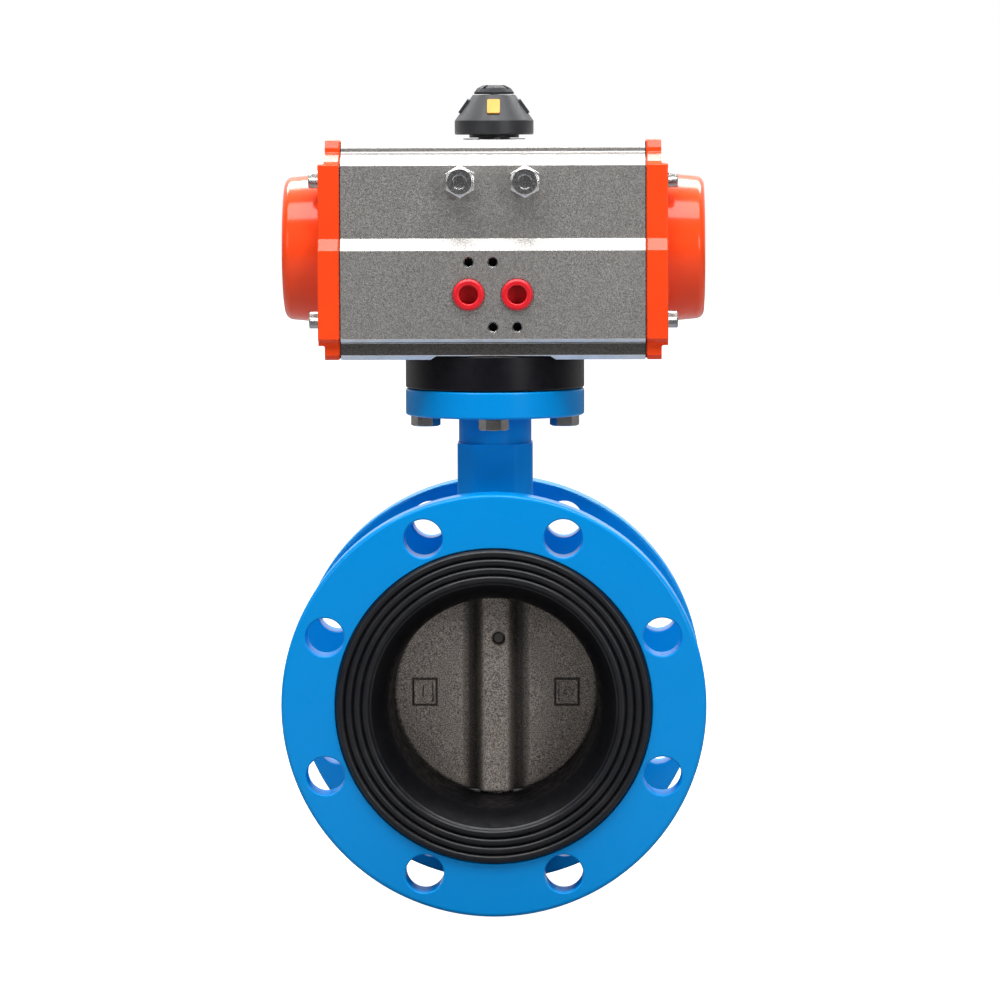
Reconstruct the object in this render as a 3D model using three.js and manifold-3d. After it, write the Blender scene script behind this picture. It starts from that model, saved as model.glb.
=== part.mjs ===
// Pneumatic actuated valve: a double-flanged DN 100 butterfly valve with a rubber seat, turned by a
// double-acting rack-and-pinion actuator that is bolted to the valve's F07 top flange.
//
// Millimetres. The origin is where the stem's axis crosses the pipe's axis, +X runs along the actuator,
// +Y along the pipe towards the outlet flange, and +Z up the stem. The valve is shut as modelled: the
// stem turns a quarter turn about +Z to open it, while both pistons move outwards.

import * as THREE from 'three';
import { mergeVertices } from 'three/addons/utils/BufferGeometryUtils.js';
import Module from 'manifold-3d';

const wasm = await Module();
wasm.setup();

// Clearance between neighbouring pieces, and the overshoot of a cutting tool past a face.
const GAP = 0.3;
const PAST = 2;

// Valve body: two pipe flanges on a short barrel, a neck and the actuator flange.
const PIPE_FLANGE = { radius: 105, thickness: 19, face: 63.5, pcd: 180, holes: 8, holeRadius: 9.5 };
const BARREL = { radius: 68, bore: 60 };
const FACE_RECESS = { radius: 78.3, floor: 60.5 };
const NECK = { radius: 18.3, width: 37.7, shoulder: 126.4, facet: 10, side: 11 };
const TOP_FLANGE = { radius: 45, bottom: 140.5, top: 154, boltCircle: 35, holeRadius: 4.5 };
const FOOT_BOSS = { radius: 17, bottom: -98 };
const STEM_BORE = { radius: 8.5, counterbore: 12, counterboreFloor: 115, footFloor: -90 };

// Rubber seat, disc and stem.
const SEAT = { bore: 52.4, lip: 61, outer: 78, faceHeight: 66, backHeight: 60.8 };
const DISC = { radius: 51.9, rimHalf: 4, dish: 41, crown: 2, chamfer: 1.5, hubFlat: 50.3, boss: 13.4 };
const DISC_PAD = { x: 36, width: 9, height: 12, stands: 2.2 };
const STEM = { radius: 8, bottom: -86, shoulder: 152, top: 195, square: 11 };
const TAPER_PIN = { radius: 3, x: 1.5, end: 11.6, blindEnd: 9.2 };
const UPPER_PIN = { z: 28, blind: false };
const LOWER_PIN = { z: -28, blind: true };
const STEM_CLEARANCE = 0.5;
const STEM_BUSH = { upper: [115.3, 138], lower: [-89.7, -61] };
const STEM_SEAL = [138.3, 148];

// Adapter ring and the four bolts that clamp the actuator to the valve.
const ADAPTER = { radius: 45, bore: 27.5, bottom: 154.3, top: 171.7 };
const M8_BOLT = { shank: 4, acrossFlats: 13, head: 5.6, tip: 182.5 };

// Actuator body: an extruded profile with a bore for the pistons, symmetrical about the XZ plane.
const BODY = { half: 75.2, bore: 38, axis: 224.3 };
const PROFILE = [
  [31, 278.5], [33, 274.3], [33, 272.3], [40.5, 267.9], [43, 266], [43, 230], [47.5, 224.1],
  [47.5, 180.3], [45, 177.8], [45, 172.1], [42, 170.1],
];
const UNDERSIDE_RECESS = { radius: 52, top: 172 };
const PORT = { x: 12, z: 202.4, radius: 5.9, depth: 12, passage: 2, passageY: -38, passageZ: 192 };
const PORT_SPOT_FACE = { radius: 8.3, depth: 0.5 };
const SOLENOID_HOLES = [[-12, 218.4], [0, 218.4], [0, 186.4], [12, 186.4]];
const TOP_HOLES = { x: 40, y: 15 };
const M5_HOLE = { radius: 2.1, depth: 7 };

// End caps and their screws.
const CAP = { seam: 1.1, plate: 7, flange: 10.2, drum: 37.8, drumEnd: 35.2, length: 29.9, cavity: 31 };
const CAP_FLANGE = { top: 266.5, bottom: 177.2 };
const CAP_SCREW = { y: 33, spread: 34.7, shank: 2.5, head: 4.25, headHeight: 5, socket: 4, tip: 61 };

// Gear train: module, teeth and proportions shared by the pinion and both racks.
const GEAR = { module: 2, teeth: 14, pressure: THREE.MathUtils.degToRad(20), backlash: 0.36 };
const GEAR_FACE = { bottom: 212, top: 237 };
const PITCH = GEAR.module * GEAR.teeth / 2;
const PINION = { bottom: 172.4, journal: 16, journalTop: 186, topJournal: 12.5, shoulder: 278.4 };
const PINION_TIP = { radius: 8, top: 297, screwHole: 2.6, holeDepth: 14 };
const TOP_BORE = 15;
const BOTTOM_BORE = 19;
const TOP_SPOT_FACE = { radius: 20.4, depth: 0.5 };
const PINION_BUSH = { top: [264.5, 276.6], bottom: [172.6, 184] };
const THRUST_WASHER = { outer: 15.5, from: 278.3, to: 279.1 };
const CAM = { radius: 22, hub: 14.5, bottom: 254, top: 262, flat: 9.6 };
const CAM_POCKET = { radius: 24, top: 263.5 };

// Pistons: a head that seals in the bore and an arm with the rack.
const PISTON = { inner: 34, outer: 53, radius: 37.4, cavity: 22, cavityDepth: 7 };
const RACK = { back: 30, end: 31, root: 16.5, tipHeight: 1.6 };
const RACK_PAD = { half: 21, recess: 1.2, endGap: 1 };
const RING_GROOVE = { from: 47, to: 51.6, floor: 33.9 };
const BAND_GROOVE = { from: 38, to: 43.6, floor: 35.4 };

// Stop screws that limit the quarter turn.
const STOP = { x: 16, z: 258, shank: 4, tip: -10, face: -43, head: 6.8, headHeight: 7.5, headEnd: -57.5 };
const STOP_SOCKET = { acrossFlats: 6, depth: 4 };
const LOCKNUT = { acrossFlats: 14.2, height: 6.5 };

// Push-in cap of an air port: radii of its parts, and distances out of (+) and into (-) the port.
const PLUG = {
  skirt: 5.5, bore: 4.65, depth: 9.2, floor: 1.2, collar: 7.8, collarHeight: 1.8, rim: 6.9, rimHeight: 2.6,
};

// Position indicator on the pinion's top.
const INDICATOR = { foot: 12.5, bottom: 279.5, skirt: 281, radius: 19.8, band: 288, neck: 10.6, top: 301 };
const GRIP = { half: 4, from: 4.5, to: 13, stands: 0.9 };
const DOME = { base: 10, bottom: 301.3, top: 305.8, socket: 5.3, socketDepth: 3.4 };
const DIAL_SCREW = { head: 4.8, headHeight: 2.9, shank: 2.1, depth: 12 };
const MARK = { half: 3.2, thickness: 1, from: 4, to: 12.5, inset: 0.8 };

// --- Solids -------------------------------------------------------------------------------------

function signedVolume(position, corners) {
  const [a, b, c] = [new THREE.Vector3(), new THREE.Vector3(), new THREE.Vector3()];
  let volume = 0;
  for (let i = 0; i < corners.length; i += 3) {
    a.fromArray(position, 3 * corners[i]);
    b.fromArray(position, 3 * corners[i + 1]);
    c.fromArray(position, 3 * corners[i + 2]);
    volume += a.dot(b.cross(c)) / 6;
  }
  return volume;
}

// A closed three.js geometry as a solid whose faces point outwards.
function solid(geometry) {
  geometry.deleteAttribute('normal');
  geometry.deleteAttribute('uv');
  const merged = mergeVertices(geometry, 1e-3);
  const position = merged.attributes.position.array;
  const corners = [];
  for (let i = 0; i < merged.index.count; i += 3) {
    const [a, b, c] = [0, 1, 2].map((step) => merged.index.getX(i + step));
    if (a !== b && b !== c && c !== a) corners.push(a, b, c);
  }
  if (signedVolume(position, corners) < 0) corners.reverse();
  return new wasm.Manifold(new wasm.Mesh({
    numProp: 3,
    vertProperties: new Float32Array(position),
    triVerts: new Uint32Array(corners),
  }));
}

function joined(...parts) {
  return parts.reduce((whole, part) => whole.add(part));
}

function cut(whole, ...tools) {
  return tools.reduce((rest, tool) => rest.subtract(tool), whole);
}

// Turns a shape made along +Z (in extrusions) or along +Y (in lathes) to lie along the named axis.
const [X, Y, Z] = [[1, 0, 0], [0, 1, 0], [0, 0, 1]].map((axis) => new THREE.Vector3(...axis));
const EXTRUDED_ALONG = {
  x: new THREE.Matrix4().makeBasis(Y, Z, X),
  y: new THREE.Matrix4().makeBasis(X, Z, Y.clone().negate()),
  z: new THREE.Matrix4(),
};
const TURNED_ALONG = {
  x: new THREE.Matrix4().makeRotationZ(-Math.PI / 2),
  y: new THREE.Matrix4(),
  z: new THREE.Matrix4().makeRotationX(Math.PI / 2),
};

// A body of revolution about an axis through the point `at`; the profile is [radius, distance] pairs.
function turned(axis, profile, sides = 24, at = [0, 0, 0]) {
  const points = profile.map(([radius, along]) => new THREE.Vector2(radius, along));
  const geometry = new THREE.LatheGeometry(points, sides);
  return solid(geometry.applyMatrix4(TURNED_ALONG[axis]).translate(...at));
}

function rod(axis, radius, from, to, at = [0, 0, 0], sides = 24) {
  return turned(axis, [[0, from], [radius, from], [radius, to], [0, to]], sides, at);
}

// A ring with a rectangular section.
function ring(axis, inner, outer, from, to, at = [0, 0, 0], sides = 24) {
  const section = [[inner, from], [outer, from], [outer, to], [inner, to], [inner, from]];
  return turned(axis, section, sides, at);
}

function block(low, high) {
  const size = high.map((value, i) => value - low[i]);
  const centre = high.map((value, i) => (value + low[i]) / 2);
  return solid(new THREE.BoxGeometry(...size).translate(...centre));
}

// A prism: an outline in the plane across the axis, drawn on the other two axes in X, Y, Z order.
function prism(axis, outline, from, to) {
  const shape = new THREE.Shape(outline.map(([u, v]) => new THREE.Vector2(u, v)));
  const geometry = new THREE.ExtrudeGeometry(shape, { depth: to - from, bevelEnabled: false });
  geometry.applyMatrix4(EXTRUDED_ALONG[axis]);
  const start = { x: [from, 0, 0], y: [0, to, 0], z: [0, 0, from] }[axis];
  return solid(geometry.translate(...start));
}

function hexagon(acrossFlats, turn = 0) {
  const radius = acrossFlats / Math.sqrt(3);
  return Array.from({ length: 6 }, (_, i) => {
    const angle = turn + i * Math.PI / 3;
    return [radius * Math.cos(angle), radius * Math.sin(angle)];
  });
}

function moved(shape, x, y, z) {
  return shape.translate([x, y, z]);
}

// --- Materials ----------------------------------------------------------------------------------

const MATERIALS = {
  blueEnamel: { color: 0x0a78c8, roughness: 0.35, metalness: 0 },
  seatRubber: { color: 0x17181c, roughness: 0.55, metalness: 0 },
  castDisc: { color: 0x4a4340, roughness: 0.6, metalness: 0.4 },
  stainless: { color: 0xb9b6b2, roughness: 0.3, metalness: 1 },
  bronze: { color: 0xa5793f, roughness: 0.4, metalness: 1 },
  blackAnodised: { color: 0x131217, roughness: 0.45, metalness: 0.3 },
  greyAnodised: { color: 0x817e7a, roughness: 0.45, metalness: 0.8 },
  orangeEnamel: { color: 0xff4d1a, roughness: 0.35, metalness: 0 },
  steel: { color: 0x8f8d8a, roughness: 0.35, metalness: 1 },
  aluminium: { color: 0xb4b5b7, roughness: 0.4, metalness: 1 },
  whitePlastic: { color: 0xe8e6df, roughness: 0.5, metalness: 0 },
  blackRubber: { color: 0x101114, roughness: 0.6, metalness: 0 },
  redPlastic: { color: 0xf0202e, roughness: 0.35, metalness: 0 },
  darkPlastic: { color: 0x26272b, roughness: 0.45, metalness: 0 },
  yellowPlastic: { color: 0xf5b21c, roughness: 0.4, metalness: 0 },
};

const materials = Object.fromEntries(
  Object.entries(MATERIALS).map(([name, look]) => [name, new THREE.MeshStandardMaterial(look)]),
);

const valve = new THREE.Group();

function add(name, material, shape) {
  const { numProp, vertProperties, triVerts } = shape.getMesh();
  const geometry = new THREE.BufferGeometry();
  geometry.setAttribute('position', new THREE.BufferAttribute(vertProperties, numProp));
  geometry.setIndex(new THREE.BufferAttribute(triVerts, 1));
  const mesh = new THREE.Mesh(geometry, materials[material]);
  mesh.name = name;
  valve.add(mesh);
}

// --- Valve --------------------------------------------------------------------------------------

function quarterPoints(radius) {
  return [[radius, 0], [0, radius], [-radius, 0], [0, -radius]];
}

function valveBody() {
  const { radius, thickness, face } = PIPE_FLANGE;
  const root = face - thickness;
  const shell = turned('y', [
    [0, -face], [radius, -face], [radius, -root], [BARREL.radius, -root],
    [BARREL.radius, root], [radius, root], [radius, face], [0, face],
  ], 48);
  const { facet, side } = NECK;
  const half = NECK.width / 2;
  const column = prism('z', [
    [-half, -side], [-facet, -half], [facet, -half], [half, -side],
    [half, side], [facet, half], [-facet, half], [-half, side],
  ], 0, NECK.shoulder);
  const outside = joined(
    shell, column,
    rod('z', NECK.radius, 0, TOP_FLANGE.bottom + 1),
    rod('z', TOP_FLANGE.radius, TOP_FLANGE.bottom, TOP_FLANGE.top, [0, 0, 0], 40),
    rod('z', FOOT_BOSS.radius, FOOT_BOSS.bottom, 0),
  );
  return cut(
    outside,
    rod('y', BARREL.bore, -face - PAST, face + PAST, [0, 0, 0], 48),
    rod('y', FACE_RECESS.radius, -face - PAST, -FACE_RECESS.floor, [0, 0, 0], 48),
    rod('y', FACE_RECESS.radius, FACE_RECESS.floor, face + PAST, [0, 0, 0], 48),
    rod('z', STEM_BORE.radius, 0, TOP_FLANGE.top + PAST, [0, 0, 0], 16),
    rod('z', STEM_BORE.counterbore, STEM_BORE.counterboreFloor, TOP_FLANGE.top + PAST, [0, 0, 0], 16),
    rod('z', STEM_BORE.counterbore, STEM_BORE.footFloor, 0, [0, 0, 0], 16),
    ...flangeHoles(),
    ...quarterPoints(TOP_FLANGE.boltCircle).map(([x, y]) => rod(
      'z', TOP_FLANGE.holeRadius, TOP_FLANGE.bottom - PAST, TOP_FLANGE.top + PAST, [x, y, 0], 12)),
  );
}

// The holes straddle the vertical and horizontal centre lines, and line up in both flanges.
function flangeHoles() {
  const { face, pcd, holes, holeRadius } = PIPE_FLANGE;
  return Array.from({ length: holes }, (_, i) => {
    const angle = (i + 0.5) * 2 * Math.PI / holes;
    const centre = [pcd / 2 * Math.cos(angle), 0, pcd / 2 * Math.sin(angle)];
    return rod('y', holeRadius, -face - PAST, face + PAST, centre, 12);
  });
}

// The seat lines the bore and folds over both faces, where it seals on the pipe's flanges.
function seatLiner() {
  const { bore, lip, outer, faceHeight, backHeight } = SEAT;
  const half = [
    [bore, faceHeight - 12], [lip, faceHeight], [outer - 1, faceHeight], [outer, faceHeight - 1],
    [outer, backHeight], [BARREL.bore - GAP, backHeight],
  ];
  const mirrored = half.map(([radius, along]) => [radius, -along]).reverse();
  const sleeve = turned('y', [...half, ...mirrored, half[0]], 48);
  return cut(sleeve, rod('z', STEM.radius + STEM_CLEARANCE, -80, 80, [0, 0, 0], 16));
}

// A dished wheel with a boss along the stem, trimmed flat at both ends of the boss, and two raised pads.
function disc() {
  const { radius, rimHalf, dish, crown, chamfer, hubFlat, boss } = DISC;
  const half = [
    [dish, rimHalf + crown / 2], [radius - chamfer, rimHalf], [radius, rimHalf - chamfer],
  ];
  const mirrored = half.map(([r, along]) => [r, -along]).reverse();
  const wheel = turned('y', [[0, rimHalf + crown], ...half, ...mirrored, [0, -rimHalf - crown]], 40);
  const { x, width, height, stands } = DISC_PAD;
  const pads = [-x, x].map((middle) => block(
    [middle - width / 2, -rimHalf - stands, -height / 2], [middle + width / 2, 0, height / 2]));
  const trimmed = joined(wheel, rod('z', boss, -hubFlat, hubFlat), ...pads)
    .intersect(block([-radius, -boss, -hubFlat], [radius, boss, hubFlat]));
  const stemHole = rod('z', STEM.radius + STEM_CLEARANCE, -hubFlat - PAST, hubFlat + PAST, [0, 0, 0], 16);
  return cut(trimmed, stemHole, ...pinHoles(boss + PAST));
}

// The cross holes for the taper pins: the upper goes right through, the lower is driven from the back.
function pinHoles(reach) {
  const { radius, x, blindEnd } = TAPER_PIN;
  return [UPPER_PIN, LOWER_PIN].map(({ z, blind }) => rod(
    'y', radius + GAP, blind ? -blindEnd - GAP : -reach, reach, [x, 0, z], 12));
}

function stem() {
  const half = STEM.square / 2;
  const shaft = turned('z', [
    [0, STEM.bottom], [STEM.radius - 1.5, STEM.bottom], [STEM.radius, STEM.bottom + 1.5],
    [STEM.radius, STEM.shoulder], [0, STEM.shoulder],
  ], 16);
  const square = block([-half, -half, STEM.shoulder - 1], [half, half, STEM.top]);
  return cut(joined(shaft, square), ...pinHoles(STEM.radius + PAST));
}

function taperPin({ z, blind }) {
  const { radius, x, end, blindEnd } = TAPER_PIN;
  const tip = blind ? -blindEnd : -end;
  return turned('y', [[0, tip], [radius - 0.4, tip], [radius, end], [0, end]], 12, [x, 0, z]);
}

function addValve() {
  const sleeve = ([from, to]) => ring(
    'z', STEM.radius + STEM_CLEARANCE, STEM_BORE.counterbore - GAP, from, to, [0, 0, 0], 16);
  add('valve_body', 'blueEnamel', valveBody());
  add('seat_liner', 'seatRubber', seatLiner());
  add('valve_disc', 'castDisc', disc());
  add('valve_stem', 'stainless', stem());
  add('taper_pin_lower', 'stainless', taperPin(LOWER_PIN));
  add('taper_pin_upper', 'stainless', taperPin(UPPER_PIN));
  add('stem_bush_upper', 'bronze', sleeve(STEM_BUSH.upper));
  add('stem_bush_lower', 'bronze', sleeve(STEM_BUSH.lower));
  add('stem_seal', 'blackRubber', sleeve(STEM_SEAL));
}

// --- Adapter ------------------------------------------------------------------------------------

function adapterRing() {
  const { radius, bore, bottom, top } = ADAPTER;
  const holes = quarterPoints(TOP_FLANGE.boltCircle).map(([x, y]) => rod(
    'z', TOP_FLANGE.holeRadius, bottom - PAST, top + PAST, [x, y, 0], 12));
  return cut(ring('z', bore, radius, bottom, top, [0, 0, 0], 32), ...holes);
}

// Hexagon bolt, pushed up through the valve's top flange and the adapter ring into the actuator.
function flangeBolt(x, y) {
  const seat = TOP_FLANGE.bottom - GAP;
  const head = prism('z', hexagon(M8_BOLT.acrossFlats), seat - M8_BOLT.head, seat);
  const shank = rod('z', M8_BOLT.shank, seat - 1, M8_BOLT.tip, [0, 0, 0], 12);
  return moved(joined(head, shank), x, y, 0);
}

function addAdapter() {
  add('adapter_ring', 'blackAnodised', adapterRing());
  const sides = ['right', 'back', 'left', 'front'];
  quarterPoints(TOP_FLANGE.boltCircle).forEach(([x, y], i) => {
    add(`flange_bolt_${sides[i]}`, 'stainless', flangeBolt(x, y));
  });
}

// --- Actuator body and end caps -----------------------------------------------------------------

function profileOutline() {
  return [...PROFILE, ...PROFILE.map(([y, z]) => [-y, z]).reverse()];
}

function capScrewPlaces() {
  const { y, spread } = CAP_SCREW;
  return [[-y, spread], [y, spread], [-y, -spread], [y, -spread]].map(([v, w]) => [v, BODY.axis + w]);
}

function actuatorBody() {
  const bar = prism('x', profileOutline(), -BODY.half, BODY.half);
  const wide = BODY.half + PAST;
  const top = PROFILE[0][1];
  const underside = PROFILE.at(-1)[1];
  return cut(
    bar,
    rod('x', BODY.bore, -wide, wide, [0, 0, BODY.axis], 48),
    rod('z', UNDERSIDE_RECESS.radius, underside - PAST, UNDERSIDE_RECESS.top, [0, 0, 0], 32),
    rod('z', TOP_BORE, BODY.axis, top + PAST, [0, 0, 0], 16),
    rod('z', TOP_SPOT_FACE.radius, top - TOP_SPOT_FACE.depth, top + PAST, [0, 0, 0], 32),
    rod('z', CAM_POCKET.radius, BODY.axis, CAM_POCKET.top),
    rod('z', BOTTOM_BORE, underside - PAST, BODY.axis, [0, 0, 0], 16),
    ...screwHoles(wide, top, underside),
    ...airPorts(wide),
  );
}

// Holes for the cap screws, the flange bolts, the stop screws and the accessories on the top.
function screwHoles(wide, top, underside) {
  const capHole = rod('x', CAP_SCREW.shank + GAP, CAP_SCREW.tip - 1, wide, [0, 0, 0], 8);
  const topHole = rod('z', M5_HOLE.radius, top - M5_HOLE.depth, top + PAST, [0, 0, 0], 8);
  const { x, y } = TOP_HOLES;
  return [
    ...capScrewPlaces().flatMap(([v, w]) => [capHole, opposite(capHole)].map((hole) => moved(hole, 0, v, w))),
    ...[[x, y], [-x, y], [-x, -y], [x, -y]].map(([u, v]) => moved(topHole, u, v, 0)),
    ...quarterPoints(TOP_FLANGE.boltCircle).map(([u, v]) => rod(
      'z', M8_BOLT.shank + GAP, underside - PAST, M8_BOLT.tip + 1, [u, v, 0], 12)),
    ...[-STOP.x, STOP.x].map((u) => rod(
      'y', STOP.shank + GAP, STOP.face - PAST, STOP.tip + PAST, [u, 0, STOP.z], 12)),
  ];
}

// Two ports: the left one feeds the space between the pistons, the right one the spaces in both caps.
function airPorts(wide) {
  const mouth = -PROFILE[6][0];
  const { depth } = PORT_SPOT_FACE;
  return [
    ...[-PORT.x, PORT.x].flatMap((x) => [
      rod('y', PORT.radius, mouth - PAST, mouth + PORT.depth, [x, 0, PORT.z], 16),
      rod('y', PORT_SPOT_FACE.radius, mouth - PAST, mouth + depth, [x, 0, PORT.z]),
    ]),
    rod('y', PORT.passage, mouth, -20, [-PORT.x, 0, PORT.z], 8),
    rod('z', PORT.passage, PORT.passageZ, PORT.z, [PORT.x, PORT.passageY, 0], 8),
    rod('x', PORT.passage, -wide, wide, [0, PORT.passageY, PORT.passageZ], 8),
    ...SOLENOID_HOLES.map(([x, z]) => rod(
      'y', M5_HOLE.radius, mouth - PAST, mouth + M5_HOLE.depth, [x, 0, z], 8)),
  ];
}

// The cap on the +X end: a plate with the body's outline, a thicker flange and a hollow drum.
function endCapSolid() {
  const seat = BODY.half + CAP.seam;
  const outline = profileOutline();
  const plate = prism('x', outline, seat, seat + CAP.plate);
  const flange = prism('x', outline, seat, seat + CAP.flange).intersect(
    block([seat, -60, CAP_FLANGE.bottom], [seat + CAP.flange, 60, CAP_FLANGE.top]));
  const end = BODY.half + CAP.length;
  const drum = turned('x', [
    [0, seat + 1], [CAP.drum, seat + 1], [CAP.drumEnd, end - 4], [CAP.drumEnd - 1.5, end - 1],
    [CAP.drumEnd - 4.5, end], [0, end],
  ], 40, [0, 0, BODY.axis]);
  const groove = block(
    [seat - PAST, PORT.passageY - 2, PORT.passageZ - 2], [seat + 3, 0, PORT.passageZ + 3]);
  return cut(
    joined(plate, flange, drum),
    rod('x', CAP.cavity, seat - PAST, end - 4.5, [0, 0, BODY.axis], 24),
    groove,
    ...capScrewPlaces().map(([y, z]) => rod(
      'x', CAP_SCREW.shank + GAP, seat - PAST, end, [0, y, z], 8)),
    ...capScrewPlaces().map(([y, z]) => rod(
      'x', CAP_SCREW.head + 1.4, seat + CAP.flange - GAP, end, [0, y, z], 16)),
  );
}

// A thin sheet between the body and a cap, drawn in a little from the profile's edge.
function gasketSolid() {
  const from = BODY.half + GAP;
  const to = BODY.half + CAP.seam - GAP;
  const inset = 0.985;
  const outline = profileOutline().map(([y, z]) => [y * inset, BODY.axis + (z - BODY.axis) * inset]);
  return cut(
    prism('x', outline, from, to),
    rod('x', BODY.bore, from - PAST, to + PAST, [0, 0, BODY.axis], 32),
    rod('x', PORT.passage, from - PAST, to + PAST, [0, PORT.passageY, PORT.passageZ], 8),
    ...capScrewPlaces().map(([y, z]) => rod(
      'x', CAP_SCREW.shank + GAP, from - PAST, to + PAST, [0, y, z], 8)),
  );
}

// Socket-head screw through the cap's flange into the body.
function capScrewSolid(y, z) {
  const seat = BODY.half + CAP.seam + CAP.flange;
  const socket = prism(
    'x', hexagon(CAP_SCREW.socket), seat + CAP_SCREW.headHeight / 2, seat + CAP_SCREW.headHeight + PAST);
  const head = rod('x', CAP_SCREW.head, seat, seat + CAP_SCREW.headHeight, [0, 0, 0], 12);
  const shank = rod('x', CAP_SCREW.shank, CAP_SCREW.tip, seat + 1, [0, 0, 0], 8);
  const screw = joined(cut(head, socket), shank);
  return moved(screw, 0, y, z);
}

// Half a turn about the stem's axis, which takes a piece to the other side of the actuator.
function opposite(shape) {
  return shape.rotate([0, 0, 180]);
}

function addActuatorBody() {
  add('actuator_body', 'greyAnodised', actuatorBody());
  // The air groove is at the front of both caps, so the left cap is a mirror image.
  const ends = { right: (shape) => shape, left: (shape) => shape.mirror([1, 0, 0]) };
  for (const [side, place] of Object.entries(ends)) {
    add(`end_cap_${side}`, 'orangeEnamel', place(endCapSolid()));
    add(`cap_gasket_${side}`, 'blackRubber', place(gasketSolid()));
    capScrewPlaces().forEach(([y, z], i) => {
      add(`cap_screw_${side}_${i + 1}`, 'stainless', place(capScrewSolid(y, z)));
    });
  }
}

// --- Gear train ---------------------------------------------------------------------------------

// The angle between a tooth's middle and its involute flank, seen from the gear's centre.
function flankAngle(radius) {
  const base = PITCH * Math.cos(GEAR.pressure);
  const involute = (angle) => Math.tan(angle) - angle;
  const atPitch = (Math.PI * GEAR.module / 2 - GEAR.backlash) / 2 / PITCH;
  const here = Math.acos(Math.min(1, base / radius));
  return atPitch + involute(GEAR.pressure) - involute(here);
}

function pinionTeeth() {
  const base = PITCH * Math.cos(GEAR.pressure);
  const radii = [PITCH - 1.25 * GEAR.module, base, PITCH, PITCH + GEAR.module];
  const outline = [];
  for (let tooth = 0; tooth < GEAR.teeth; tooth += 1) {
    const middle = Math.PI / 2 + tooth * 2 * Math.PI / GEAR.teeth;
    const flank = (side) => (radius) => {
      const angle = middle + side * flankAngle(radius);
      return [radius * Math.cos(angle), radius * Math.sin(angle)];
    };
    outline.push(...radii.map(flank(-1)), ...radii.slice().reverse().map(flank(1)));
  }
  return prism('z', outline, GEAR_FACE.bottom - 1, GEAR_FACE.top + 1);
}

function pinion() {
  const { bottom, journal, journalTop, topJournal, shoulder } = PINION;
  const { radius, top, screwHole: hole, holeDepth } = PINION_TIP;
  const core = PITCH - 1.25 * GEAR.module - 0.2;
  const shaft = turned('z', [
    [0, bottom], [journal, bottom], [journal, journalTop], [core, journalTop + 4],
    [core, CAM.bottom - 2], [topJournal, CAM.bottom - 1], [topJournal, shoulder],
    [radius, shoulder], [radius, top], [0, top],
  ], 16);
  const half = STEM.square / 2 + GAP;
  const socket = block([-half, -half, bottom - PAST], [half, half, STEM.top + 3]);
  const screwHole = rod('z', hole, top - holeDepth, top + PAST, [0, 0, 0], 8);
  return cut(joined(shaft, pinionTeeth()), socket, screwHole);
}

// The cam's flats meet the stop screws at the two ends of the quarter turn.
function stopCam() {
  const { radius, hub, bottom, top, flat } = CAM;
  const lobe = rod('z', radius, bottom, top, [0, 0, 0], 32).intersect(
    block([-flat, -flat, bottom], [radius, radius, top]));
  const bore = rod('z', PINION.topJournal + GAP, bottom - PAST, top + PAST, [0, 0, 0], 16);
  return cut(joined(lobe, rod('z', hub, bottom, top, [0, 0, 0], 24)), bore);
}

// Rack teeth on the +Y side of the pinion, with a gap in the middle for the pinion's tooth.
function rackTeeth(from, to) {
  const tip = PITCH - RACK.tipHeight;
  const { root } = RACK;
  const pitch = Math.PI * GEAR.module;
  const halfAt = (y) => (pitch / 2 - GEAR.backlash) / 2 + (y - PITCH) * Math.tan(GEAR.pressure);
  const outline = [[from, root + 1], [from, root]];
  for (let x = pitch * (Math.ceil(from / pitch) + 0.5); x + halfAt(root) < to; x += pitch) {
    outline.push([x - halfAt(root), root], [x - halfAt(tip), tip]);
    outline.push([x + halfAt(tip), tip], [x + halfAt(root), root]);
  }
  outline.push([to, root], [to, root + 1]);
  return prism('z', outline, GEAR_FACE.bottom, GEAR_FACE.top);
}

// The left piston: a head with two grooves, and an arm along the +Y side of the pinion.
function pistonSolid() {
  const { inner, outer, radius, cavity, cavityDepth } = PISTON;
  const groove = ({ from, to, floor }) => [[radius, -to], [floor, -to], [floor, -from], [radius, -from]];
  const head = turned('x', [
    [0, -outer], [radius, -outer], ...groove(RING_GROOVE), ...groove(BAND_GROOVE),
    [radius, -inner], [0, -inner],
  ], 24, [0, 0, BODY.axis]);
  const { bottom, top } = GEAR_FACE;
  const arm = block([-inner - 1, RACK.root, bottom], [RACK.end, RACK.back, top]);
  const hollow = rod('x', cavity, -outer - PAST, cavityDepth - outer, [0, 0, BODY.axis], 16);
  const reach = RACK_PAD.half + RACK_PAD.endGap;
  const padSeat = block(
    [-reach, RACK.back - RACK_PAD.recess, bottom - 1], [reach, RACK.back + 1, top + 1]);
  return cut(joined(head, arm, rackTeeth(-inner, RACK.end)), hollow, padSeat);
}

// The slide pad behind a rack, whose back follows the bore.
function rackPadSolid() {
  const { half, recess } = RACK_PAD;
  const strip = block(
    [-half, RACK.back - recess + GAP, GEAR_FACE.bottom], [half, BODY.bore, GEAR_FACE.top]);
  return strip.intersect(rod('x', BODY.bore - GAP - 0.1, -half - 1, half + 1, [0, 0, BODY.axis], 48));
}

function pistonRingSolid({ from, to, floor }) {
  return ring('x', floor + GAP, PISTON.radius + 0.15, -to + GAP, -from - GAP, [0, 0, BODY.axis]);
}

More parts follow.
